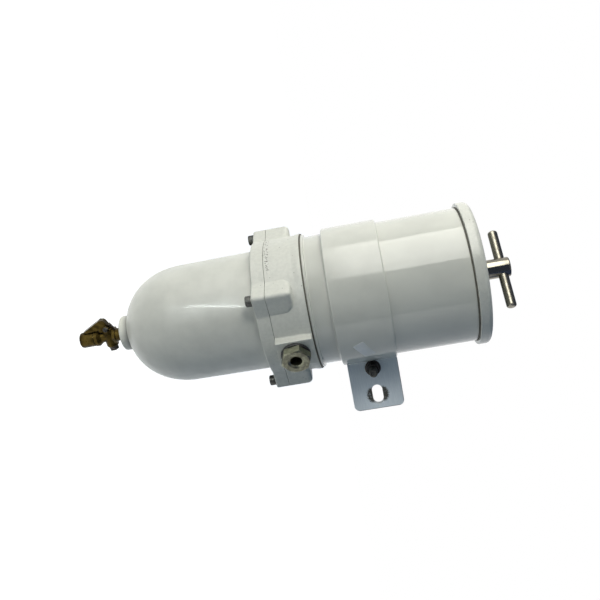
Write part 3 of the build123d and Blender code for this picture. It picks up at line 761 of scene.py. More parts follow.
def enamel_material(name, fine, broad, depth, roughness, specks=0.0, shade_and_soiling=1.0, coat=0.0, filler=False,
                    crease_shade=False):
    """White enamel over metal, with orange peel or cast grain, painted shade and soiling in the seams, a
    few specks, and painted shade in the crease by the bowl's boss where asked.
    """
    colours = bpy.context.scene.separator_colours
    material, n, shader = start_material(name)
    grain, base = mottled_enamel(n, fine, broad)
    # Painted shade, with some soiling, in the seams; its mask also roughens the enamel.
    base, seam_shade = with_seam_shade_and_soiling(n, base, colours.shade_and_soiling, 0.003, shade_and_soiling)
    if specks:
        dots = effect(n, "Specks", spacing=150.0, size=0.085, share=specks)
        base = n.mix(n.math("MULTIPLY", dots["Mask"], 0.55), base, (0.16, 0.15, 0.13))
    height = grain["Height"]
    if crease_shade:
        # Painted shade in the crease round the bowl's boss.
        base = n.mix(boss_crease_shade(n), base, tuple(c * 0.22 for c in colours.enamel))
    if filler:
        seam, dots = joint_filler(n)
        base = n.mix(n.math("MULTIPLY", seam, 0.6), base, (0.80, 0.80, 0.76))
        base = n.mix(n.math("MULTIPLY", dots, 0.8), base, (0.16, 0.14, 0.11))
        height = n.math("SUBTRACT", height, n.math("MULTIPLY", dots, 3.0))
    rough = n.ramp(grain["Mottle"], 0.3, 0.7, roughness * 0.85, roughness * 1.2)
    rough = n.math("ADD", rough, n.math("MULTIPLY", seam_shade, 0.4), clamp=True)
    feed_shader(n, shader, base, rough, height, depth, IOR=1.5, Coat_Weight=coat, Coat_Roughness=0.09)
    return material


def boss_crease_shade(n):
    """Mask of the painted shade in the crease where the bowl's boss meets its dome."""
    x, y, z = n.split(n.place())
    r = n.math("SUBTRACT", n.length(x, y), BOSS_RADIUS * MM)
    away = n.length(r, n.math("SUBTRACT", z, BOSS_ROOT_Z * MM))
    return n.math("POWER", n.ramp(away, 0.0075, 0.0002), 1.6)


def joint_filler(n):
    """Rough filler smeared along the casting's joint on the seen side: a band and the pits in it."""
    place = n.place()
    ragged = n.math("MULTIPLY", n.math("SUBTRACT", n.noise(place, 500.0, 3.0, 0.6), 0.5), 0.004)
    z = n.math("ADD", n.split(place)[2], ragged)
    band = n.math("MULTIPLY", n.ramp(z, 0.2046, 0.2054), n.ramp(z, 0.2092, 0.2082))
    band = n.math("MULTIPLY", band, n.ramp(n.along(place, FILLER_AZIMUTH), 0.0600, 0.0622))
    pits = n.ramp(n.noise(place, 700.0, 2.0, 0.6), 0.52, 0.58)
    return band, n.math("MULTIPLY", band, pits)


def crown_mask(n):
    """Mask of the turned faces at the outer ends of the port adapters, broken up by noise."""
    place = n.place()
    face = n.ramp(n.math("ABSOLUTE", n.along(place, INLET_AZIMUTH)), 0.0812, 0.0820)
    return n.math("MULTIPLY", face, n.ramp(n.noise(place, 380.0, 4.0, 0.7), 0.35, 0.60, 0.25, 1.0))


def metal_material(name, base, second, roughness, scale, metallic=1.0, depth=0.00002, spread=(0.4, 0.65),
                   crown=False):
    """Metal with patches of a second colour, worn lighter along its edges and given a painted glint there,
    and with painted shade and soiling in its seams.
    """
    material, n, shader = start_material(name)
    grain = effect(n, "Surface grain", fine_scale=scale * 4, broad_scale=scale, broad_share=1.0)
    tone = n.mix(n.ramp(grain["Mottle"], *spread), base, second)
    edge_rub_and_glint = effect(n, "Rubbed edges and glint", width=0.0005, amount=0.6)
    # Edges lighter, partly as rubbed metal and partly as a painted glint.
    tone = n.mix(edge_rub_and_glint["Mask"], tone, tuple(min(1.0, c * 1.7 + 0.05) for c in base))
    if crown:
        tone = n.mix(crown_mask(n), tone, (0.10, 0.098, 0.075))
    # Painted shade, with some soiling, in the metal's seams.
    tone = with_seam_shade_and_soiling(n, tone, (0.02, 0.018, 0.014), 0.0015, 0.8)[0]
    rough = n.ramp(grain["Mottle"], 0.3, 0.7, roughness * 0.75, roughness * 1.3)
    feed_shader(n, shader, tone, rough, grain["Height"], depth, Metallic=metallic)
    return material


def soft_material(name, base, roughness, scale=700.0, depth=0.00003, sheen=0.0, dust=0.02):
    """Rubber, moulded plastic or paper: matt, slightly uneven and dusty."""
    material, n, shader = start_material(name)
    grain = effect(n, "Surface grain", fine_scale=scale, broad_scale=scale / 8, broad_share=0.6)
    dusty = tuple(min(1.0, c * 1.5 + dust) for c in base)
    tone = n.mix(n.ramp(grain["Mottle"], 0.4, 0.7), base, dusty)
    rough = n.ramp(grain["Mottle"], 0.3, 0.7, roughness * 0.9, min(1.0, roughness * 1.15))
    feed_shader(n, shader, tone, rough, grain["Height"], depth, Sheen_Weight=sheen)
    return material


def ear_material(name):
    """Enamel of the strap, rubbed through to dark metal in a ring where a washer sat round the slot."""
    material, n, shader = start_material(name)
    grain, base = mottled_enamel(n, 1400.0, 45.0)
    place = n.place()
    x, y, z = n.split(place)
    slot_y = n.math("SUBTRACT", y, SLOT_CENTRE[0] * MM)
    away = n.length(slot_y, n.math("SUBTRACT", z, SLOT_CENTRE[1] * MM))
    ragged = n.noise(place, 900.0, 4.0, 0.7)
    away = n.math("ADD", away, n.math("MULTIPLY", n.math("SUBTRACT", ragged, 0.5), 0.0075))
    ring = n.ramp(away, 0.0114, 0.0098)
    flank = n.ramp(n.math("ABSOLUTE", slot_y), 0.0088, 0.0062)
    rub = n.math("MULTIPLY", ring, flank)
    rub = n.math("MULTIPLY", rub, n.ramp(n.noise(place, 420.0, 3.0, 0.6), 0.30, 0.45, 0.7, 1.0))
    # Blue-grey tint with fine drawn lines on the ear's flat face: partly a finish of its own, partly
    # painted bluish shade.
    flat = n.math("MULTIPLY", n.ramp(y, 0.0682, 0.0700), n.ramp(n.math("ABSOLUTE", x), 0.0060, 0.0045))
    drawn = n.add("ShaderNodeMapping", Scale=(1.0, 0.05, 1.0))
    n.link(place, drawn.inputs["Vector"])
    lines = n.ramp(n.noise(drawn.outputs[0], 2200.0, 2.0, 0.6), 0.35, 0.65)
    base = n.mix(flat, base, n.mix(lines, (0.66, 0.71, 0.76), (0.75, 0.80, 0.83)))
    # Painted shade, with some soiling, in the strap's seams.
    base = with_seam_shade_and_soiling(n, base, bpy.context.scene.separator_colours.shade_and_soiling, 0.003, 1.0)[0]
    base = n.mix(rub, base, (0.050, 0.048, 0.040))
    # Painted shade: dark lines along the ear's outer end and along the top edge of its leaves.
    top_edge_shade = n.math("MULTIPLY", n.ramp(z, 0.31015, 0.31045), n.ramp(y, 0.0700, 0.0720))
    rim = n.math("MAXIMUM", n.ramp(y, 0.11800, 0.11835), top_edge_shade)
    base = n.mix(n.math("MULTIPLY", rim, 0.75), base, (0.10, 0.10, 0.11))
    rough = n.math("ADD", n.ramp(grain["Mottle"], 0.3, 0.7, 0.06, 0.10), n.math("MULTIPLY", flat, 0.22))
    rough = n.math("ADD", rough, n.math("MULTIPLY", rub, 0.25))
    height = n.math("SUBTRACT", grain["Height"], n.math("MULTIPLY", rub, 1.5))
    feed_shader(n, shader, base, rough, height, 0.00003, IOR=1.5)
    return material


FINISHES = {}


def build_finishes(c):
    EFFECTS.update({
        "Surface grain": surface_grain_group(), "Seam shade and soiling": seam_shade_and_soiling_group(),
        "Rubbed edges and glint": rubbed_edge_and_glint_group(), "Specks": speck_group()})

    def shade(share):
        return tuple(v * share for v in c.chrome)

    FINISHES.update({
        "bowl": enamel_material(
            "Bowl enamel", 1100.0, 70.0, 0.000024, 0.36, shade_and_soiling=0.9, coat=0.12, crease_shade=True),
        "casting": enamel_material(
            "Casting enamel", 1500.0, 320.0, 0.00007, 0.38, specks=0.35, filler=True),
        "tube": enamel_material("Tube enamel", 900.0, 28.0, 0.000006, 0.07, shade_and_soiling=0.4),
        "lid": enamel_material("Lid enamel", 1300.0, 240.0, 0.00005, 0.24, specks=0.6),
        "strap": ear_material("Strap enamel"),
        "brass": metal_material("Turned brass", c.brass, c.tarnish, 0.33, 190.0, spread=(0.35, 0.72)),
        "plain_steel": metal_material("Plain steel", c.plain_steel, (0.04, 0.035, 0.03), 0.35, 500.0),
        "dark_steel": metal_material(
            "Blackened steel", c.dark_steel, (0.10, 0.10, 0.09), 0.42, 600.0, metallic=0.75),
        "black_steel": metal_material(
            "Blackened nut", (0.016, 0.016, 0.016), (0.035, 0.034, 0.032), 0.38, 600.0, metallic=0.6),
        "yellow_zinc": metal_material(
            "Yellow zinc", c.zinc, (0.19, 0.19, 0.135), 0.36, 260.0, crown=True),
        "chrome": metal_material("Bright chrome", c.chrome, shade(0.9), 0.10, 160.0, depth=0.000004),
        "dull_chrome": metal_material(
            "Dull chrome", shade(1.15), shade(0.9), 0.30, 260.0, depth=0.000008),
        "rubber": soft_material("Gasket rubber", c.rubber, 0.62),
        "seam": soft_material("Seam gasket", (0.085, 0.078, 0.062), 0.6, dust=0.01),
        "seal": soft_material("Seal rubber", (0.008, 0.008, 0.008), 0.55, dust=0.006),
        "aluminium": metal_material("Turned aluminium", c.aluminium, (0.5, 0.5, 0.5), 0.3, 300.0),
        "ball_steel": metal_material("Ground steel", (0.6, 0.6, 0.6), (0.5, 0.5, 0.5), 0.12, 300.0),
        "paper": soft_material("Filter paper", c.paper, 0.85, 900.0, 0.00008, 0.2),
        "plastic": soft_material("Moulded plastic", c.plastic, 0.48),
        "label": soft_material("Label film", c.label, 0.40, 300.0, 0.00001)})


def add_piece(name, shell, finish, slot_name, body, *nodes, bevel=0.0):
    """Adds a shell as a piece with its finish and body, and hides the CAD nodes that it stands for;
    slot_name is not used. A bevel softens its edges, and without one it is shaded by the shell's own
    normals."""
    verts, faces, normals = shell
    mesh = bpy.data.meshes.new(name)
    mesh.from_pydata((verts * MM).tolist(), [], straightened(verts, faces, normals))
    obj = linked_object(name, mesh)
    if bevel:
        soften_node(obj, bevel)
    else:
        mesh.polygons.foreach_set("use_smooth", [True] * len(mesh.polygons))
        mesh.normals_split_custom_set_from_vertices(unit_rows(normals).tolist())
        mesh.update()
    mesh.materials.append(FINISHES[finish])
    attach(obj, body)
    if nodes:
        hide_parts(*nodes)


def refinish(node, finish, bevel=0.0):
    """Keeps a CAD node, with a finish of its own and softened edges."""
    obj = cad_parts[node]
    if not obj.material_slots:
        obj.data.materials.append(FINISHES[finish])
    for place in obj.material_slots:
        place.link = "OBJECT"
        place.material = FINISHES[finish]
    if bevel:
        soften_node(obj, bevel)


# Pieces

class PieceOperator:
    bl_options = {"REGISTER", "UNDO"}


class SEPARATOR_OT_finishes(PieceOperator, bpy.types.Operator):
    """Make the enamel, metal, rubber and paper finishes"""

    bl_idname = "separator.finishes"
    bl_label = "Finishes"

    def execute(self, context):
        build_finishes(context.scene.separator_colours)
        return {"FINISHED"}


def dome_points(radius, height, start, count):
    """Profile of the bowl's dome, a superellipse, from its boss up to where it turns straight."""
    last = math.acos(start / radius)
    points = []
    for k in range(count):
        r = radius * math.cos(last * (1 - k / (count - 1)))
        drop = height * (1 - (r / radius) ** DOME_POWER) ** (1 / DOME_POWER)
        points.append((r, DOME_CENTRE_Z - drop, None))
    return points


class SEPARATOR_OT_bowl(PieceOperator, bpy.types.Operator):
    """Spin the domed bowl with its boss and flange"""

    bl_idname = "separator.bowl"
    bl_label = "Bowl"

    def execute(self, context):
        outer = dome_points(57.6, 63.1, BOSS_RADIUS, 41)
        outer[0] = (*outer[0][:2], 0.7)
        inner = reversed(dome_points(54.4, 59.9, DRAIN_HOLE_RADIUS, 33))
        corners = [(DRAIN_HOLE_RADIUS, BOSS_FACE_Z, 0.3), (BOSS_RADIUS, BOSS_FACE_Z, 1.9), *outer,
                   (58.2, FLANGE_BASE_Z, 0.8), (63.2, FLANGE_BASE_Z, 0.5), (63.2, BOWL_TOP_Z, 0.3),
                   (55.0, BOWL_TOP_Z, 0.3), *inner]
        shell = turned(corners, context.scene.separator_sizes.round_steps)
        add_piece("bowl_shell", shell, "bowl", "white_paint", "housing", "bowl")
        return {"FINISHED"}


class SEPARATOR_OT_clamp_ring(PieceOperator, bpy.types.Operator):
    """Cast the four-lobed clamp ring under the casting"""

    bl_idname = "separator.clamp_ring"
    bl_label = "Clamp ring"

    def execute(self, context):
        sizes = context.scene.separator_sizes
        outline = ring_outline(sizes.cast_fillet)
        places = [SCREW_CIRCLE_RADIUS * np.array(direction(azimuth)) for azimuth in LOBE_AZIMUTHS]
        holes = [circle_loop(3.3, 24, place, hole=True) for place in places]
        halves = []
        for inner, low, high, low_edge, high_edge in (
                (58.7, RING_BASE_Z, FLANGE_BASE_Z, 1.4, 0.0), (63.6, FLANGE_BASE_Z, 203.58, 0.0, 0.15)):
            opening = circle_loop(inner, sizes.round_steps, hole=True)
            halves.append(loop_plate([outline, opening] + holes, low, high, low_edge, high_edge))
        add_piece("clamp_ring", join_shells(halves), "casting", "white_paint", "housing", "bowl_ring")
        return {"FINISHED"}


def screw_shell(steps=48):
    """Socket head cap screw whose head is down, with its socket in the lower face."""
    angle = full_turn(steps)
    socket = hexagon_radii(5.0, angle)
    rings = [(3.0, 218.0), (3.0, RING_BASE_Z), (4.9, RING_BASE_Z), (5.0, 190.9), (5.0, 185.8),
             (4.45, 185.1), (3.2, 185.1), (socket, 185.3), (socket, 188.0), (socket * 0.02, 188.6)]
    return ringed(rings, angle, flip=True)


class SEPARATOR_OT_bowl_screws(PieceOperator, bpy.types.Operator):
    """Set the four blackened socket head screws into the ring's lobes"""

    bl_idname = "separator.bowl_screws"
    bl_label = "Bowl screws"

    def execute(self, context):
        shells = [moved(screw_shell(), at(azimuth, SCREW_CIRCLE_RADIUS)) for azimuth in LOBE_AZIMUTHS]
        add_piece("bowl_cap_screws", join_shells(shells), "dark_steel", "dark_steel", "housing",
                  "bowl_screws", bevel=0.2)
        return {"FINISHED"}


def casting_heights():
    """Heights of the casting's rows of points, closer together where its lobes and blocks round off."""
    turn = np.sin(np.radians([0, 10, 20, 30, 40, 50, 58, 66, 74, 82, 88]))
    parts = [[CASTING_BASE_Z], np.linspace(204.2, 215.8, 8), np.linspace(216.4, 220.9, 8),
             221.3 + 5.58 * turn, [226.92, 227.0, 227.15, 227.35, 227.6], np.linspace(227.9, 236.4, 15),
             236.7 + BLOCK_EDGE * turn, [237.51, 237.56, CASTING_TOP_Z]]
    return np.concatenate(parts)


def casting_skin(fillet):
    """Outer surface of the casting between its two flat ends, with a hole behind each port's seal."""
    angles = outline_angles(True)
    count = len(angles)
    low_edge = 0.2
    edge_top = CASTING_BASE_Z + low_edge
    rings, ring_normals = [], []
    for z in casting_heights():
        r, n = reach_of(casting_distance, angles, np.full_like(angles, z), fillet)
        ring = np.column_stack([r * np.cos(angles), r * np.sin(angles), np.full_like(r, z)])
        if z < edge_top:
            inset = low_edge - math.sqrt(max(low_edge ** 2 - (edge_top - z) ** 2, 0.0))
            ring[:, :2] -= inset * n[:, :2]
            down = inset / low_edge
            n = n * (1 - down) + np.array([0, 0, -1.0]) * down
        rings.append(ring)
        ring_normals.append(n)
    inner = CASTING_INNER_RADIUS * np.column_stack([np.cos(angles), np.sin(angles)])
    flat = np.tile([0.0, 0.0, 1.0], (count, 1))
    rings = [np.column_stack([inner, np.full(count, CASTING_BASE_Z)]), rings[0].copy()] + rings
    ring_normals = [-flat, -flat] + ring_normals
    rings += [rings[-1].copy(), np.column_stack([inner, np.full(count, CASTING_TOP_Z)])]
    ring_normals += [flat, flat]
    verts = np.vstack(rings)
    near_port = np.zeros(len(verts), bool)
    for azimuth in PORT_AZIMUTHS.values():
        out, aside = out_and_aside(azimuth, verts[:, 0], verts[:, 1])
        near_port |= (np.hypot(aside, verts[:, 2] - PORT_Z) < PORT_HOLE_RADIUS) & (out > 60)
    apart = [np.abs(low - high).max() >= 1e-9 for low, high in zip(rings, rings[1:])]
    faces = [f for f in ring_faces(len(rings), count)
             if apart[f[0] // count] and not near_port[list(f)].any()]
    return verts, faces, np.vstack(ring_normals)


def port_bore():
    """Bore of a port along Z, with the land that its seal lies on."""
    land = 71.45
    return turned([(13.6, land, 0.0), (9.05, land, 0.3), (9.05, 61.0, 0.0)], 96, closed=False)


def inner_faces_of(node, keep):
    """Copy of those faces of a CAD mesh whose middle passes the test, in millimetres."""
    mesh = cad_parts[node].data
    verts = np.array([v.co[:] for v in mesh.vertices]) / MM
    faces, normals = [], np.zeros_like(verts)
    for p in mesh.polygons:
        if keep(Vector(p.center) / MM):
            faces.append(tuple(p.vertices))
            for v in p.vertices:
                normals[v] += np.array(p.normal[:])
    used = sorted({v for f in faces for v in f})
    index = {v: i for i, v in enumerate(used)}
    faces = [tuple(index[v] for v in f) for f in faces]
    return verts[used], faces, unit_rows(normals[used])


def casting_inside(centre):
    """Whether a face of the CAD casting lies inside it or in a port's passage."""
    if math.hypot(centre.x, centre.y) < CASTING_INNER_RADIUS - 0.01:
        return True
    for azimuth in PORT_AZIMUTHS.values():
        out, aside = out_and_aside(azimuth, centre.x, centre.y)
        if 0 < out < 71.4 and math.hypot(aside, centre.z - PORT_Z) < 9.2:
            return True
    return False


class SEPARATOR_OT_casting(PieceOperator, bpy.types.Operator):
    """Cast the body between bowl and tube, with its lobes, port blocks and inner web"""

    bl_idname = "separator.casting"
    bl_label = "Casting"

    def execute(self, context):
        fillet = context.scene.separator_sizes.cast_fillet
        shells = [casting_skin(fillet), inner_faces_of("body_casting", casting_inside)]
        for azimuth in PORT_AZIMUTHS.values():
            shells.append(moved(port_bore(), outward(azimuth, PORT_Z)))
        add_piece("port_casting", join_shells(shells), "casting", "white_paint", "housing", "body_casting")
        return {"FINISHED"}


def adapter_shell(steps=96):
    """Hexagon adapter along Z with a turned crown, a bore and a spigot."""
    across, low, high = 24.6, ADAPTER_FOOT, 82.2
    spigot, spigot_end, bore, crown = 8.95, 62.8, 5.5, 11.9
    turn = full_turn(steps)
    flat = hexagon_radii(across, turn)
    top = high - (flat - crown) * math.tan(math.pi / 6)
    rings = [(spigot, spigot_end), (spigot, low), (flat - 0.3, low), (flat, low + 0.3), (flat, top),
             (crown, high), (7.7, high), (7.6, high - 0.06), (bore, high - 1.3), (bore, spigot_end),
             (spigot, spigot_end)]
    return ringed(rings, turn + math.radians(10))


class SEPARATOR_OT_port_adapters(PieceOperator, bpy.types.Operator):
    """Screw the zinc plated hexagon adapters and their seals onto the ports"""

    bl_idname = "separator.port_adapters"
    bl_label = "Port adapters"

    def execute(self, context):
        for side, azimuth in PORT_AZIMUTHS.items():
            port = outward(azimuth, PORT_Z)
            add_piece(side + "_hexagon", moved(adapter_shell(), port), "yellow_zinc", "yellow_zinc",
                      "housing", side + "_adapter", bevel=0.18)
            seal = cylinder_shell(13.7, BLOCK_REACH, ADAPTER_FOOT, 0.9, 96, inner=9.0)
            add_piece(side + "_ring", moved(seal, port), "seal", "rubber", "housing", side + "_seal")
        return {"FINISHED"}


class SEPARATOR_OT_tube(PieceOperator, bpy.types.Operator):
    """Draw the body tube with its foot, neck and shoulder"""

    bl_idname = "separator.tube"
    bl_label = "Body tube"

    def execute(self, context):
        corners = [
            (47.0, TUBE_BASE_Z, 0.3), (65.6, TUBE_BASE_Z, 0.5), (65.6, 241.4, 0.9), (62.75, 241.4, 1.0),
            (62.75, 257.0, 3.0), (64.4, 263.0, 3.0), (64.4, TUBE_TOP_Z, 0.6), (61.6, TUBE_TOP_Z, 0.4),
            (61.6, 263.0, 2.0), (59.95, 257.0, 2.0), (59.95, 242.0, 1.0), (47.0, 242.0, 0.3)]
        shell = turned(corners, context.scene.separator_sizes.round_steps)
        add_piece("enamel_tube", shell, "tube", "white_paint", "housing", "body_tube")
        return {"FINISHED"}


def strap_band(steps):
    """Band of the strap, all round apart from the split between its two leaves."""
    corners = [(STRAP_INNER_RADIUS, STRAP_BASE_Z, 0.3), (STRAP_RADIUS, STRAP_BASE_Z, 1.4),
               (STRAP_RADIUS, STRAP_TOP_Z, 1.4), (STRAP_INNER_RADIUS, STRAP_TOP_Z, 0.3)]
    profile = softened(corners, turn_step=12.0)
    gap = math.asin(LEAF_INNER / 66.0)
    verts, normals = spun(profile, np.linspace(math.pi / 2 + gap, math.pi * 2.5 - gap, steps))
    return verts, ring_faces(len(profile), steps, closed_rows=True, closed_ring=False), normals


def strap_leaf(edge):
    """One leaf of the ear, lying in its own x (outwards) and y (up), with its thickness along z."""
    outline = corner_loop((66.2, EAR_BASE_Z), (EAR_REACH, EAR_TOP_Z), (0.4, 5.6, 5.6, 0.4))
    slot = slot_loop(19.9, 10.5, SLOT_CENTRE)
    bolt = circle_loop(4.3, 40, BOLT_CENTRE, hole=True)
    return loop_plate([outline, slot, bolt], LEAF_INNER, LEAF_FACE, 0.1, edge, 3)


def bend_strip(radius, steps=10):
    """Inner corner between band and leaf, rounded as sheet metal bends, in the plane of the band."""
    x, reach = LEAF_FACE + radius, STRAP_RADIUS + radius
    y = math.sqrt(reach ** 2 - x ** 2)
    start = math.pi
    end = math.atan2(-y, -x) % (2 * math.pi)
    angle = start + (end - start) * np.arange(steps + 1) / steps
    arc = np.column_stack([x + radius * np.cos(angle), y + radius * np.sin(angle)])
    n = np.column_stack([x - arc[:, 0], y - arc[:, 1]]) / radius
    low, high = EAR_BASE_Z + 0.4, EAR_TOP_Z - 0.4
    count = len(arc)
    verts = np.vstack([np.column_stack([arc, np.full(count, z)]) for z in (low, high)])
    normals = np.vstack([np.column_stack([n, np.zeros(count)])] * 2)
    shells = [(verts, ring_faces(2, count, closed_ring=False), normals)]
    for z, up in ((low, -1.0), (high, 1.0)):
        cap = np.vstack([arc, [(3.0, 66.8)]])
        cap = np.column_stack([cap, np.full(len(cap), z)])
        fan = [(k, k + 1, count) for k in range(count - 1)]
        shells.append((cap, fan, np.tile([0, 0, up], (len(cap), 1))))
    return join_shells(shells)


class SEPARATOR_OT_strap(PieceOperator, bpy.types.Operator):
    """Bend the clamp strap round the tube and out into its slotted ear"""

    bl_idname = "separator.strap"
    bl_label = "Clamp strap"

    def execute(self, context):
        sizes = context.scene.separator_sizes
        leaf = moved(strap_leaf(sizes.plate_edge), EAR_AXES)
        bend = bend_strip(sizes.bend_radius)
        mirror = Matrix.Diagonal((-1, 1, 1, 1))
        shells = [strap_band(sizes.round_steps), leaf, moved(leaf, mirror), bend, moved(bend, mirror)]
        add_piece("ear_strap", join_shells(shells), "strap", "white_paint", "housing", "clamp_strap")
        return {"FINISHED"}


def hexagon_shell(across, low, high, turn=0.0, crown=0.6, bore=0.0, steps=72):
    """Hexagon along Z with turned corners at its high end."""
    base = full_turn(steps)
    flat = hexagon_radii(across, base)
    limit = across / 2 / math.cos(math.pi / 6) - crown
    top = high - np.maximum(flat - limit, 0.0) * 0.6
    middle = max(bore, 0.01)
    face = np.minimum(flat, limit) - 0.02
    rings = [(middle, low), (flat, low), (flat, top), (face, high), (middle, high)]
    if bore:
        rings.append((bore, low))
    return ringed(rings, base + math.radians(turn))


class SEPARATOR_OT_clamp_bolt(PieceOperator, bpy.types.Operator):
    """Put the blackened bolt and flange nut through the ear"""

    bl_idname = "separator.clamp_bolt"
    bl_label = "Clamp bolt and nut"

    def execute(self, context):
        along = Matrix.Translation((0, *BOLT_CENTRE)) @ EAR_AXES
        shank = turned([(0.0, -3.2, 0.0), (4.0, -3.2, 0.0), (4.0, 23.3, 0.0), (3.3, 24.0, 0.0),
                        (2.6, 24.0, 0.0), (1.9, 23.2, 0.0), (0.0, 23.1, 0.0)], 48, closed=False)
        head = moved(hexagon_shell(13.0, LEAF_FACE, 8.6), Matrix.Diagonal((1, 1, -1, 1)))
        bolt = moved(join_shells([shank, head]), along)
        add_piece("ear_bolt", bolt, "dark_steel", "dark_steel", "housing", "clamp_bolt", bevel=0.15)
        bore = 4.05
        flange = turned([(bore, LEAF_FACE, 0.0), (7.9, LEAF_FACE, 0.2), (7.9, 4.0, 0.3), (6.6, 5.0, 0.5),
                         (bore, 5.0, 0.0)], 64)
        hexagon = hexagon_shell(11.4, 4.6, 11.3, turn=10.0, bore=bore)
        nut = moved(join_shells([flange, hexagon]), along)
        add_piece("ear_nut", nut, "black_steel", "dark_steel", "housing", "clamp_nut", bevel=0.2)
        return {"FINISHED"}


class SEPARATOR_OT_lid(PieceOperator, bpy.types.Operator):
    """Turn the lid with its rounded rim and spigot"""

    bl_idname = "separator.lid"
    bl_label = "Lid"

    def execute(self, context):
        foot, ceiling = 383.6, 392.3
        corners = [
            (6.4, foot, 0.3), (15.0, foot, 0.5), (15.0, ceiling, 2.0), (55.0, ceiling, 2.0),
            (55.0, foot, 0.5), (61.2, foot, 0.5), (61.2, LID_RIM_Z, 0.3), (68.4, LID_RIM_Z, 0.7),
            (68.4, LID_TOP_Z, 4.2), (6.4, LID_TOP_Z, 0.3)]
        shell = turned(corners, context.scene.separator_sizes.round_steps, turn_step=9.0)
        add_piece("round_lid", shell, "lid", "white_paint", "lid", "lid")
        return {"FINISHED"}


class SEPARATOR_OT_handle(PieceOperator, bpy.types.Operator):
    """Turn the chromed hub and cross bar of the T-handle"""

    bl_idname = "separator.handle"
    bl_label = "T-handle"

    def execute(self, context):
        stem_end, hub_top = 364.0, 430.4
        hub = turned([(0.0, stem_end, 0.0), (6.0, stem_end, 0.8), (6.0, HUB_BASE_Z, 0.0),
                      (9.5, HUB_BASE_Z, 0.3), (9.5, hub_top, 1.2), (0.0, hub_top, 0.0)],
                     128, closed=False, turn_step=9.0)
        add_piece("t_handle_hub", hub, "chrome", "chrome", "handle", "handle_hub")
        bar = cylinder_shell(4.7, -39.9, 41.9, 2.6, 96, turn_step=9.0)
        bar = moved(bar, outward(HANDLE_BAR_AZIMUTH, 423.0))
        add_piece("t_handle_bar", bar, "dull_chrome", "chrome", "handle", "handle_bar")
        return {"FINISHED"}


class SEPARATOR_OT_gaskets(PieceOperator, bpy.types.Operator):
    """Lay the round gaskets in their seams"""

    bl_idname = "separator.gaskets"
    bl_label = "Gaskets"

    def execute(self, context):
        steps = context.scene.separator_sizes.round_steps
        for name, outer, inner, low, high, body, node in (
                ("bowl_seam_gasket", 62.8, 55.6, BOWL_TOP_Z, CASTING_BASE_Z, "housing", "bowl_gasket"),
                ("tube_seam_gasket", 66.4, 58.0, CASTING_TOP_Z, TUBE_BASE_Z, "housing", "tube_gasket"),
                ("lid_seam_gasket", 64.9, 61.9, TUBE_TOP_Z, LID_RIM_Z, "lid", "lid_gasket"),
                ("hub_seal", 9.1, 6.0, LID_TOP_Z + 0.05, HUB_BASE_Z, "handle", "handle_seal")):
            shell = cylinder_shell(outer, low, high, 0.35, steps, inner=inner)
            add_piece(name, shell, "seam", "rubber", body, node)
        return {"FINISHED"}


class SEPARATOR_OT_drain_cock(PieceOperator, bpy.types.Operator):
    """Finish the brass drain cock, its plug and lever"""

    bl_idname = "separator.drain_cock"
    bl_label = "Drain cock"

    def execute(self, context):
        for node in ("drain_body", "drain_plug", "drain_lever"):
            refinish(node, "brass", 0.3)
        for node in ("drain_tail_washer", "drain_tail_nut"):
            refinish(node, "plain_steel", 0.2)
        refinish("drain_stop_screw", "black_steel", 0.12)
        arm = cylinder_shell(2.7, 21.5, 30.0, 1.6, 48)
        spot = outward(COCK_AZIMUTH) @ Vector((0.0, 6.9, 5.2))
        add_piece("cock_lug_arm", moved(arm, Matrix.Translation(spot)), "brass", "brass", "housing")
        return {"FINISHED"}


class SEPARATOR_OT_inner_pieces(PieceOperator, bpy.types.Operator):
    """Finish the element, turbine, baffle, return tube and check ball, and the blank label"""

    bl_idname = "separator.inner_pieces"
    bl_label = "Inner pieces and label"

    def execute(self, context):
        finishes = {
            "aluminium": ("return_tube", "ball_cage"), "ball_steel": ("check_ball",),
            "paper": ("element_media",), "rubber": ("element_grommets",), "label": ("blank_label",),
            "plastic": ("element_top_cap", "element_bottom_cap", "turbine", "cone_baffle")}
        for finish, nodes in finishes.items():
            for node in nodes:
                refinish(node, finish)
        return {"FINISHED"}


# Studio

CAMERA_PLACE = (0.6790, -0.1197, 0.2945)
CAMERA_RIGHT = (-0.06587, 0.18559, 0.98041)
CAMERA_UP = (-0.18387, -0.96798, 0.17088)
CAMERA_BACK = (0.98074, -0.16902, 0.09788)
CAMERA_LENS = 42.2
CAMERA_SENSOR = 36.0

UPRIGHT = (0, 0, 1)
MIDDLE = (0, 0, 0.24)
WARM = (1.0, 0.985, 0.895)
# Leaning of the strip lamp, which makes its streak on the bowl run level in the photograph
STRIP_UP = (0.433, 0.793, 0.429)


def stand(obj, place, right, up, back):
    """Puts a lamp, card or camera at a place, with its own axes along these three."""
    m = Matrix((right, up, back)).transposed().to_4x4()
    m.translation = place
    obj.matrix_world = m


def aim(obj, place, target, up=UPRIGHT):
    """Turns a lamp or card so that its -Z looks at the target and its X lies across up."""
    back = (Vector(place) - Vector(target)).normalized()
    right = Vector(up).cross(back).normalized()
    stand(obj, place, right, back.cross(right), back)


def new_lamp(name, kind, place, target, watts, tint, up=UPRIGHT):
    data = bpy.data.lights.new(name, kind)
    data.energy = watts
    data.color = tint
    lamp = linked_object(name, data)
    aim(lamp, place, target, up)
    lamp.visible_camera = False
    return lamp


def area_lamp(name, place, target, size, watts, tint, up=UPRIGHT):
    lamp = new_lamp(name, "AREA", place, target, watts, tint, up)
    lamp.data.shape = "RECTANGLE"
    lamp.data.size, lamp.data.size_y = size
    return lamp


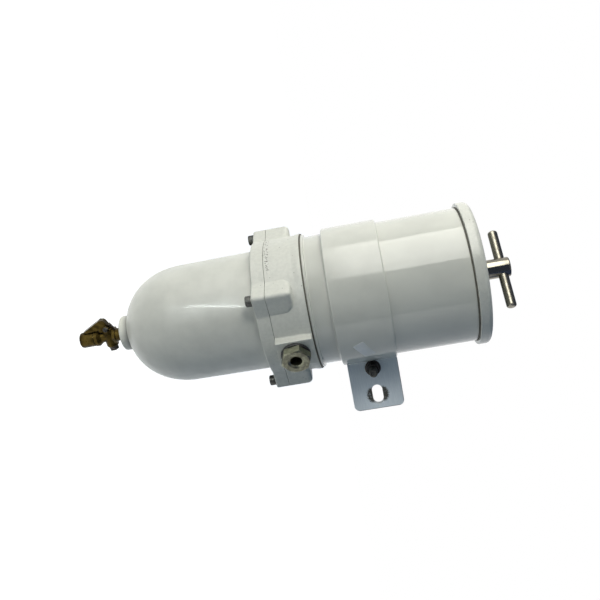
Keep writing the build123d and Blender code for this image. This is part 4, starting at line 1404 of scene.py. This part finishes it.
def spot_lamp(name, place, target, watts, tint):
    lamp = new_lamp(name, "SPOT", place, target, watts, tint)
    lamp.data.spot_size = math.radians(6.0)
    lamp.data.spot_blend = 1.0
    lamp.data.shadow_soft_size = 0.03
    lamp.visible_glossy = False


def round_axis(angle, distance, z):
    """Point beside the object's axis, turned by angle from the camera's side towards the picture's top."""
    c, s = direction(CAMERA_AZIMUTH - angle)
    return Vector((distance * c, distance * s, z))


def floor_material():
    material, n = bare_material("Pale floor")
    tone = n.mix(n.ramp(n.noise(n.place(), 3.0, 2.0), 0.4, 0.6), (0.80, 0.80, 0.79), (0.82, 0.82, 0.81))
    matt = n.add("ShaderNodeBsdfDiffuse")
    n.link(tone, matt.inputs["Color"])
    glow = n.add("ShaderNodeEmission", Color=(1, 1, 1, 1))
    path = n.add("ShaderNodeLightPath")
    seen = n.math("ADD", path.outputs["Is Camera Ray"], path.outputs["Is Glossy Ray"], clamp=True)
    n.link(n.math("MULTIPLY", seen, 0.92), glow.inputs["Strength"])
    both = n.add("ShaderNodeAddShader")
    n.link(matt.outputs[0], both.inputs[0])
    n.link(glow.outputs[0], both.inputs[1])
    result = n.add("ShaderNodeOutputMaterial")
    n.link(both.outputs[0], result.inputs[0])
    return material


def studio_world(fill):
    world = bpy.data.worlds.new("Studio")
    bpy.context.scene.world = world
    world.use_nodes = True
    n = Nodes(world.node_tree)
    path = n.add("ShaderNodeLightPath")
    seen = n.math("ADD", path.outputs["Is Camera Ray"], path.outputs["Is Glossy Ray"])
    seen = n.math("ADD", seen, path.outputs["Is Transmission Ray"], clamp=True)
    strength = n.math("ADD", n.math("MULTIPLY", seen, 1.0 - fill), fill)
    tint = n.mix(seen, (0.60, 0.80, 1.0), (1.0, 1.0, 1.0))
    back = n.add("ShaderNodeBackground")
    n.link(tint, back.inputs["Color"])
    n.link(strength, back.inputs["Strength"])
    result = n.add("ShaderNodeOutputWorld")
    n.link(back.outputs[0], result.inputs[0])


def square_mesh(name, segments, half_side):
    bm = bmesh.new()
    bmesh.ops.create_grid(bm, x_segments=segments, y_segments=segments, size=half_side)
    mesh = bpy.data.meshes.new(name)
    bm.to_mesh(mesh)
    bm.free()
    return mesh


def dark_card(name, place, target, size, shade, tint, up=UPRIGHT):
    """Dark card that only reflections see."""
    mesh = square_mesh(name, 1, 0.5)
    mesh.transform(Matrix.Diagonal((*size, 1, 1)))
    card = linked_object(name, mesh)
    aim(card, place, target, up)
    material, n = bare_material(name)
    glow = n.add("ShaderNodeEmission", Color=(*(shade * v for v in tint), 1), Strength=1.0)
    result = n.add("ShaderNodeOutputMaterial")
    n.link(glow.outputs[0], result.inputs[0])
    mesh.materials.append(material)
    for ray in ("camera", "diffuse", "shadow", "transmission"):
        setattr(card, "visible_" + ray, False)


def add_lamps(studio):
    for name, place, side, watts in (
            ("key_lamp", round_axis(59.0, 1.1, 0.55), 0.98, studio.key_power),
            ("front_lamp", round_axis(40.0, 1.2, 0.60), 0.35, studio.front_power),
            ("top_lamp", round_axis(100.0, 0.6, 0.60), 0.4, studio.top_power)):
        area_lamp(name, place, MIDDLE, (side, side), watts, WARM).visible_glossy = False
    for name, z, height, watts, tint in (
            ("soft_box", 0.4385, 0.443, studio.soft_box_power, (1.0, 0.99, 0.92)),
            ("low_soft_box", -0.155, 0.59, studio.low_box_power, (1.0, 0.99, 0.95))):
        box = area_lamp(name, round_axis(54.5, 1.1, z), (0, 0, z), (1.2, height), watts, tint)
        box.visible_diffuse = False
    spot_lamp("ear_spot", round_axis(-38.0, 0.9, 0.30), (0.004, 0.129, 0.286), studio.ear_power,
              (0.93, 0.97, 1.0))
    spot_lamp("boss_spot", round_axis(55.0, 0.9, -0.10), (0.0, 0.0, 0.048), studio.boss_power, WARM)
    strip = area_lamp("strip_lamp", round_axis(20.2, 0.75, -0.01), (0, 0, 0.14), (0.022, 0.28),
                      studio.strip_power, (0.94, 1.0, 0.97), STRIP_UP)
    strip.visible_diffuse = False


def add_cards():
    dark_card("camera_side_card", round_axis(-4.0, 1.25, 0.30), MIDDLE, (2.4, 1.1), 0.10,
              (0.75, 0.95, 1.4))
    dark_card("low_card", round_axis(-78.0, 1.0, 0.86), (0, 0, 0.86), (1.3, 0.56), 0.12,
              (0.5, 0.75, 1.6))
    dark_card("lid_end_card", (-0.3, 0.0, 1.15), (-0.3, 0.0, 0.0), (2.6, 2.4), 0.12,
              (0.8, 0.95, 1.3), (0, 1, 0))


class SEPARATOR_OT_stage(PieceOperator, bpy.types.Operator):
    """Set up the floor, lamps, cards, world and camera"""

    bl_idname = "separator.stage"
    bl_label = "Studio"

    def execute(self, context):
        scene = context.scene
        studio = scene.separator_studio
        mesh = square_mesh("studio_floor", 8, 6.0)
        mesh.transform(Matrix.Translation((0, 0, -studio.floor_drop)))
        mesh.materials.append(floor_material())
        floor = linked_object("studio_floor", mesh)
        studio_world(studio.fill)
        add_lamps(studio)
        add_cards()
        data = bpy.data.cameras.new("photo_camera")
        data.lens = CAMERA_LENS
        data.sensor_width = CAMERA_SENSOR
        camera = linked_object("photo_camera", data)
        stand(camera, CAMERA_PLACE, CAMERA_RIGHT, CAMERA_UP, CAMERA_BACK)
        scene.camera = camera
        scene.view_settings.view_transform = "Standard"
        return {"FINISHED"}


PIECES = (
    SEPARATOR_OT_finishes,
    SEPARATOR_OT_bowl,
    SEPARATOR_OT_clamp_ring,
    SEPARATOR_OT_bowl_screws,
    SEPARATOR_OT_casting,
    SEPARATOR_OT_port_adapters,
    SEPARATOR_OT_tube,
    SEPARATOR_OT_strap,
    SEPARATOR_OT_clamp_bolt,
    SEPARATOR_OT_lid,
    SEPARATOR_OT_handle,
    SEPARATOR_OT_gaskets,
    SEPARATOR_OT_drain_cock,
    SEPARATOR_OT_inner_pieces,
    SEPARATOR_OT_stage,
)


class SEPARATOR_PT_panel(bpy.types.Panel):
    """Lists the pieces and their settings"""

    bl_idname = "SEPARATOR_PT_panel"
    bl_label = "Fuel Water Separator"
    bl_space_type = "VIEW_3D"
    bl_region_type = "UI"
    bl_category = "Separator"

    def draw(self, context):
        scene = context.scene
        for group in (scene.separator_sizes, scene.separator_colours, scene.separator_studio):
            box = self.layout.box()
            for name in group.__annotations__:
                box.prop(group, name)
        column = self.layout.column(align=True)
        for piece in PIECES:
            column.operator(piece.bl_idname)


CLASSES = (SeparatorSizes, SeparatorColours, SeparatorStudio) + PIECES + (SEPARATOR_PT_panel,)


def register():
    for cls in CLASSES:
        bpy.utils.register_class(cls)
    bpy.types.Scene.separator_sizes = PointerProperty(type=SeparatorSizes)
    bpy.types.Scene.separator_colours = PointerProperty(type=SeparatorColours)
    bpy.types.Scene.separator_studio = PointerProperty(type=SeparatorStudio)


def unregister():
    del bpy.types.Scene.separator_studio
    del bpy.types.Scene.separator_colours
    del bpy.types.Scene.separator_sizes
    for cls in reversed(CLASSES):
        bpy.utils.unregister_class(cls)


def main():
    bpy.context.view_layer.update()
    register()
    for piece in PIECES:
        group, name = piece.bl_idname.split(".")
        getattr(getattr(bpy.ops, group), name)()
    bpy.context.view_layer.update()


if __name__ == "__main__":
    main()
